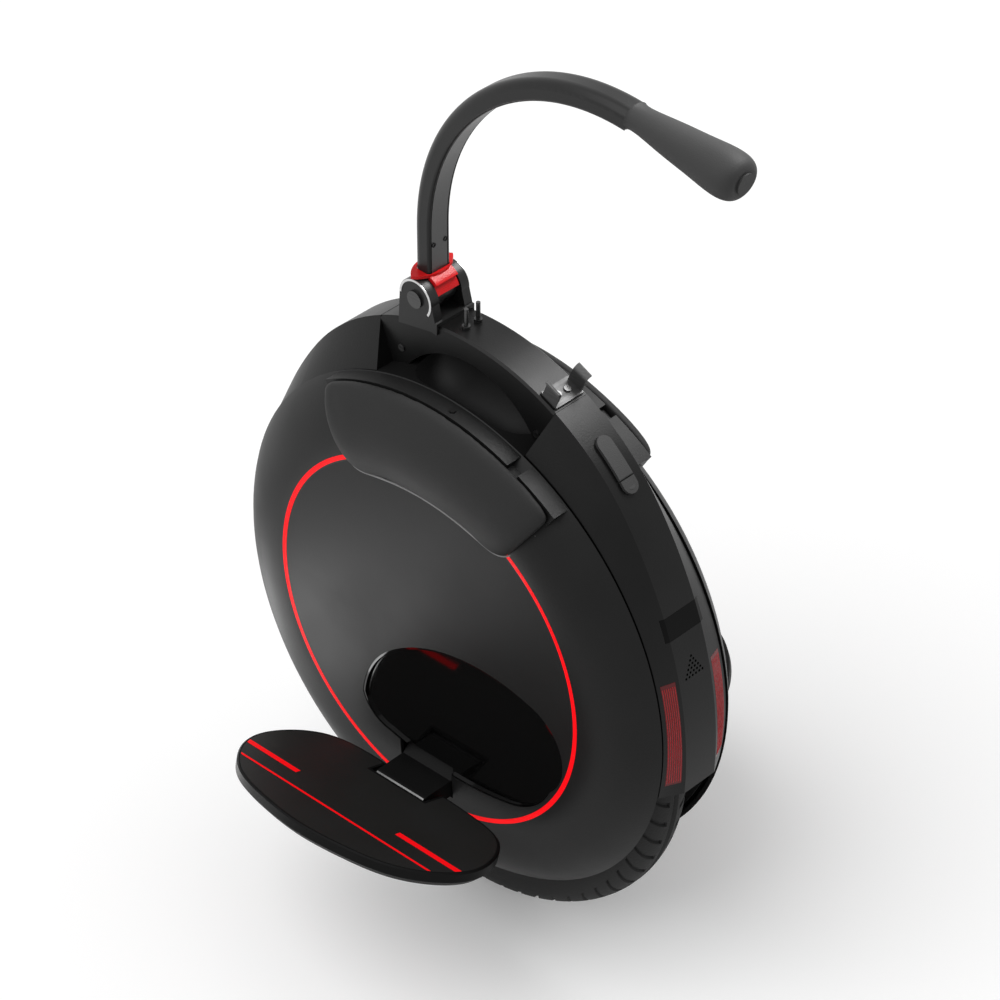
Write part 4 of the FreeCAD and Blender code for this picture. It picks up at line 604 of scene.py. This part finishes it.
front_half = [shell_point(share * FRONT_END, radius) for share, radius in HIGHLIGHT_TURNS]
rear_half = [shell_point(share * REAR_END, radius) for share, radius in HIGHLIGHT_TURNS]
outline = front_half + [shell_point(0, HIGHLIGHT_MIDDLE)] + rear_half[::-1]
for side, turn in (("left", 1), ("right", -1)):
    # The pale grey line is a painted highlight along the pad's edge, not a part of its own.
    highlight_line = curve_mesh(f"{side}_highlight_path", [outline], HIGHLIGHT_RADIUS * MM)
    bmesh.ops.scale(highlight_line, vec=(1, turn, 1), verts=highlight_line.verts)
    piece(highlight_line, f"{side}_pad_edge_highlight", "chassis", painted_highlight_grey, crease=60)

# %% [markdown]
# ## Pedal stripes
# The pedal tops carry two red stripes, a thick one near the middle, with a bare stretch in it, and a thin
# one outside it. They are inlays that run to the edge of the sheet, so each is cut out of a copy of the
# sheet itself with four planes and raised a little. They ride on the pedal and fold with it.

# %% Pedal stripes
PEDAL_PIN = Vector((0, 78, 117.5)) * MM
PEDAL_CANT = math.radians(2.5)
PEDAL_TILT = math.radians(17)
STRIPE_RISE = 0.15
STRIPE_SHRINK = 0.996
SHEET_MERGE = 0.01
FAR = 200
STRIPES = ((48, FAR, 56.5, 4.5), (-FAR, -48.5, 56.5, 4.5), (-FAR, FAR, 73.7, 1.8))
pedal_frame = (
    Matrix.Translation(PEDAL_PIN)
    @ Matrix.Rotation(PEDAL_CANT, 4, "Y")
    @ Matrix.Rotation(PEDAL_TILT, 4, "X")
    @ Matrix.Scale(MM, 4)
)


def keep_below(shape, point, normal):
    """Cuts a closed shape at a plane, keeps the part behind it and closes the cut."""
    everything = shape.verts[:] + shape.edges[:] + shape.faces[:]
    cut = bmesh.ops.bisect_plane(shape, geom=everything, plane_co=point, plane_no=normal, clear_outer=True)
    rim = [item for item in cut["geom_cut"] if isinstance(item, bmesh.types.BMEdge)]
    if rim:
        bmesh.ops.contextual_create(shape, geom=rim)


def stripe_mesh(first, last, depth, width):
    """One stripe of the left pedal, from its two ends, its distance from the pin and its width."""
    stripe = bmesh.new()
    stripe.from_mesh(nodes["left_pedal_sheet"].data)
    bmesh.ops.transform(stripe, matrix=pedal_frame.inverted(), verts=stripe.verts)
    bmesh.ops.remove_doubles(stripe, verts=stripe.verts, dist=SHEET_MERGE)
    keep_below(stripe, (0, depth + width / 2, 0), (0, 1, 0))
    keep_below(stripe, (0, depth - width / 2, 0), (0, -1, 0))
    keep_below(stripe, (last, 0, 0), (1, 0, 0))
    keep_below(stripe, (first, 0, 0), (-1, 0, 0))
    raised = Matrix.Translation((0, 0, STRIPE_RISE)) @ Matrix.Diagonal((STRIPE_SHRINK, STRIPE_SHRINK, 1, 1))
    bmesh.ops.transform(stripe, matrix=pedal_frame @ raised, verts=stripe.verts)
    mesh = bpy.data.meshes.new("stripe")
    stripe.to_mesh(mesh)
    stripe.free()
    return mesh


stripe_meshes = [stripe_mesh(*stripe) for stripe in STRIPES]
for side, turn in (("left", 1), ("right", -1)):
    stripes = bmesh.new()
    for mesh in stripe_meshes:
        stripes.from_mesh(mesh)
    bmesh.ops.scale(stripes, vec=(1, turn, 1), verts=stripes.verts)
    piece(stripes, f"{side}_pedal_stripes", f"{side}_pedal", red_with_painted_glow)

# %% [markdown]
# ## Bracket noses
# Each pedal turns on a bracket with a round nose. A thin bright strip along the nose is a painted highlight
# for the light that the nose's edge catches. A painted line would need a mask on the bracket, so the strip
# is
# a piece of its own: a cube made long and thin, bevelled and turned to lie on the nose.

# %% Bracket noses
NOSE_RADIUS = 6.5 * MM
NOSE_ANGLE = math.radians(38)
NOSE_HALF = 22.5
NOSE_STRIP = (2 * NOSE_HALF, 3.4, 0.35)
NOSE_BEVEL = 0.12

nose_place = (
    Matrix.Translation(PEDAL_PIN)
    @ Matrix.Rotation(PEDAL_CANT, 4, "Y")
    @ Matrix.Rotation(-NOSE_ANGLE, 4, "X")
    @ Matrix.Translation((0, 0, NOSE_RADIUS))
    @ Matrix.Scale(MM, 4)
)
for side, turn in (("left", 1), ("right", -1)):
    strip = bmesh.new()
    bmesh.ops.create_cube(strip, size=1, matrix=Matrix.Diagonal((*NOSE_STRIP, 1)))
    bmesh.ops.bevel(
        strip, geom=strip.edges[:], offset=NOSE_BEVEL, segments=2, profile=0.5, affect="EDGES", material=-1
    )
    bmesh.ops.transform(strip, matrix=Matrix.Diagonal((1, turn, 1, 1)) @ nose_place, verts=strip.verts)
    piece(strip, f"{side}_nose_highlight", "chassis", nose_highlight_steel)

# %% [markdown]
# ## Lamp ribs
# The tail lamps are moulded with fine ribs that run up the lens and catch the light. Each rib is a thin
# smooth curve laid on the lens, which slopes from the spine's ridge to its edge, and the curves are then
# made one mesh. Bump in the material would shade the same, but would stay flat at the lamp's edge.

# %% Lamp ribs
RIDGE_CENTRE = Vector((99.4, 0, 213.7)) * MM
RIDGE_RADIUS = 296.9 * MM
RIDGE_HALF = 14.5 * MM
EDGE_RADIUS = 191.5 * MM
EDGE_Z = SHELL_CENTRE_Z * MM
EDGE_HALF = 30.2 * MM
RIB_RADIUS = 0.3 * MM
RIB_COUNT = 7
RIB_FIRST = 17.9
RIB_PITCH = 1.45
RIB_POINTS = 7
RIB_FOOT = 208.5
RIB_STEP = 12.5
RIB_ROWS = [RIB_FIRST + RIB_PITCH * index for index in range(RIB_COUNT)]
RIB_HEIGHTS = [RIB_FOOT + RIB_STEP * index for index in range(RIB_POINTS)]


def lens_point(y, z):
    """Point on a tail lamp, between the spine's ridge and its edge."""
    ridge = RIDGE_CENTRE.x - math.sqrt(RIDGE_RADIUS**2 - (z - RIDGE_CENTRE.z) ** 2)
    edge = -math.sqrt(EDGE_RADIUS**2 - (z - EDGE_Z) ** 2)
    share = (abs(y) - RIDGE_HALF) / (EDGE_HALF - RIDGE_HALF)
    return Vector((ridge + (edge - ridge) * share, y, z))


# The ribs take a lighter red than the lens: a painted highlight on top of the light their shape catches.
for side, turn in (("left", 1), ("right", -1)):
    lines = [[lens_point(turn * row * MM, height * MM) for height in RIB_HEIGHTS] for row in RIB_ROWS]
    ribs = curve_mesh(f"{side}_rib_lines", lines, RIB_RADIUS)
    piece(ribs, f"{side}_lamp_ribs", "chassis", rib_red_painted_highlight, crease=60)

# %% [markdown]
# ## Hinge and arm details
# A painted highlight, a bright steel line, runs round the top of each hinge ear where its rounded edge
# catches the light, and two small screws hold the strip on the inside of the arm. The line is a small
# rectangle spun about the pin, which keeps it round where a bent strip would kink. A screw is a short
# cylinder whose end is inset and sunk for the socket.

# %% Hinge and arm details
PIN = Vector((43, 0, 472)) * MM
EAR_OUTER = 17.2 * MM
BRIGHT_RADIUS = 13.5 * MM
BRIGHT_HALF = 0.8 * MM
BRIGHT_SWEEP = math.radians(215)
BRIGHT_STEPS = 36

bright = bmesh.new()
for turn in (1, -1):
    start = [PIN + Vector((BRIGHT_RADIUS + dx * BRIGHT_HALF, turn * (EAR_OUTER + dy * BRIGHT_HALF / 2), 0))
             for dx, dy in ((-1, 0), (1, 0), (1, 1), (-1, 1))]
    corners = [bright.verts.new(co) for co in start]
    cap = bright.faces.new(corners)
    bmesh.ops.spin(bright, geom=[cap], cent=PIN, axis=(0, -1, 0), angle=BRIGHT_SWEEP, steps=BRIGHT_STEPS)
# A painted highlight: bright steel where the rounded edge of each ear catches the light.
piece(bright, "ear_painted_highlights", "chassis", bright_steel)

STRIP_BACK = 38.0 * MM
SCREW_RADIUS = 1.7 * MM
SCREW_HEIGHT = 1.0 * MM
SCREW_Z = 510 * MM
SCREW_ASIDE = 5.3 * MM
SCREW_SIDES = 20
FACING_BACK = -0.9
SOCKET_RIM = 0.6 * MM
SOCKET_TAPER = 0.05 * MM
SOCKET_DEPTH = 0.6 * MM

screws = bmesh.new()
for y in (-SCREW_ASIDE, SCREW_ASIDE):
    spot = Matrix.Translation((STRIP_BACK, y, SCREW_Z)) @ Matrix.Rotation(-math.pi / 2, 4, "Y")
    sizes = {"radius1": SCREW_RADIUS, "radius2": SCREW_RADIUS, "depth": SCREW_HEIGHT}
    bmesh.ops.create_cone(screws, cap_ends=True, segments=SCREW_SIDES, matrix=spot, **sizes)
tops = [face for face in screws.faces if face.normal.x < FACING_BACK]
bmesh.ops.inset_individual(screws, faces=tops, thickness=SOCKET_RIM, depth=0)
bmesh.ops.inset_individual(screws, faces=tops, thickness=SOCKET_TAPER, depth=-SOCKET_DEPTH)
piece(screws, "strip_screws", "arm", frame_black)
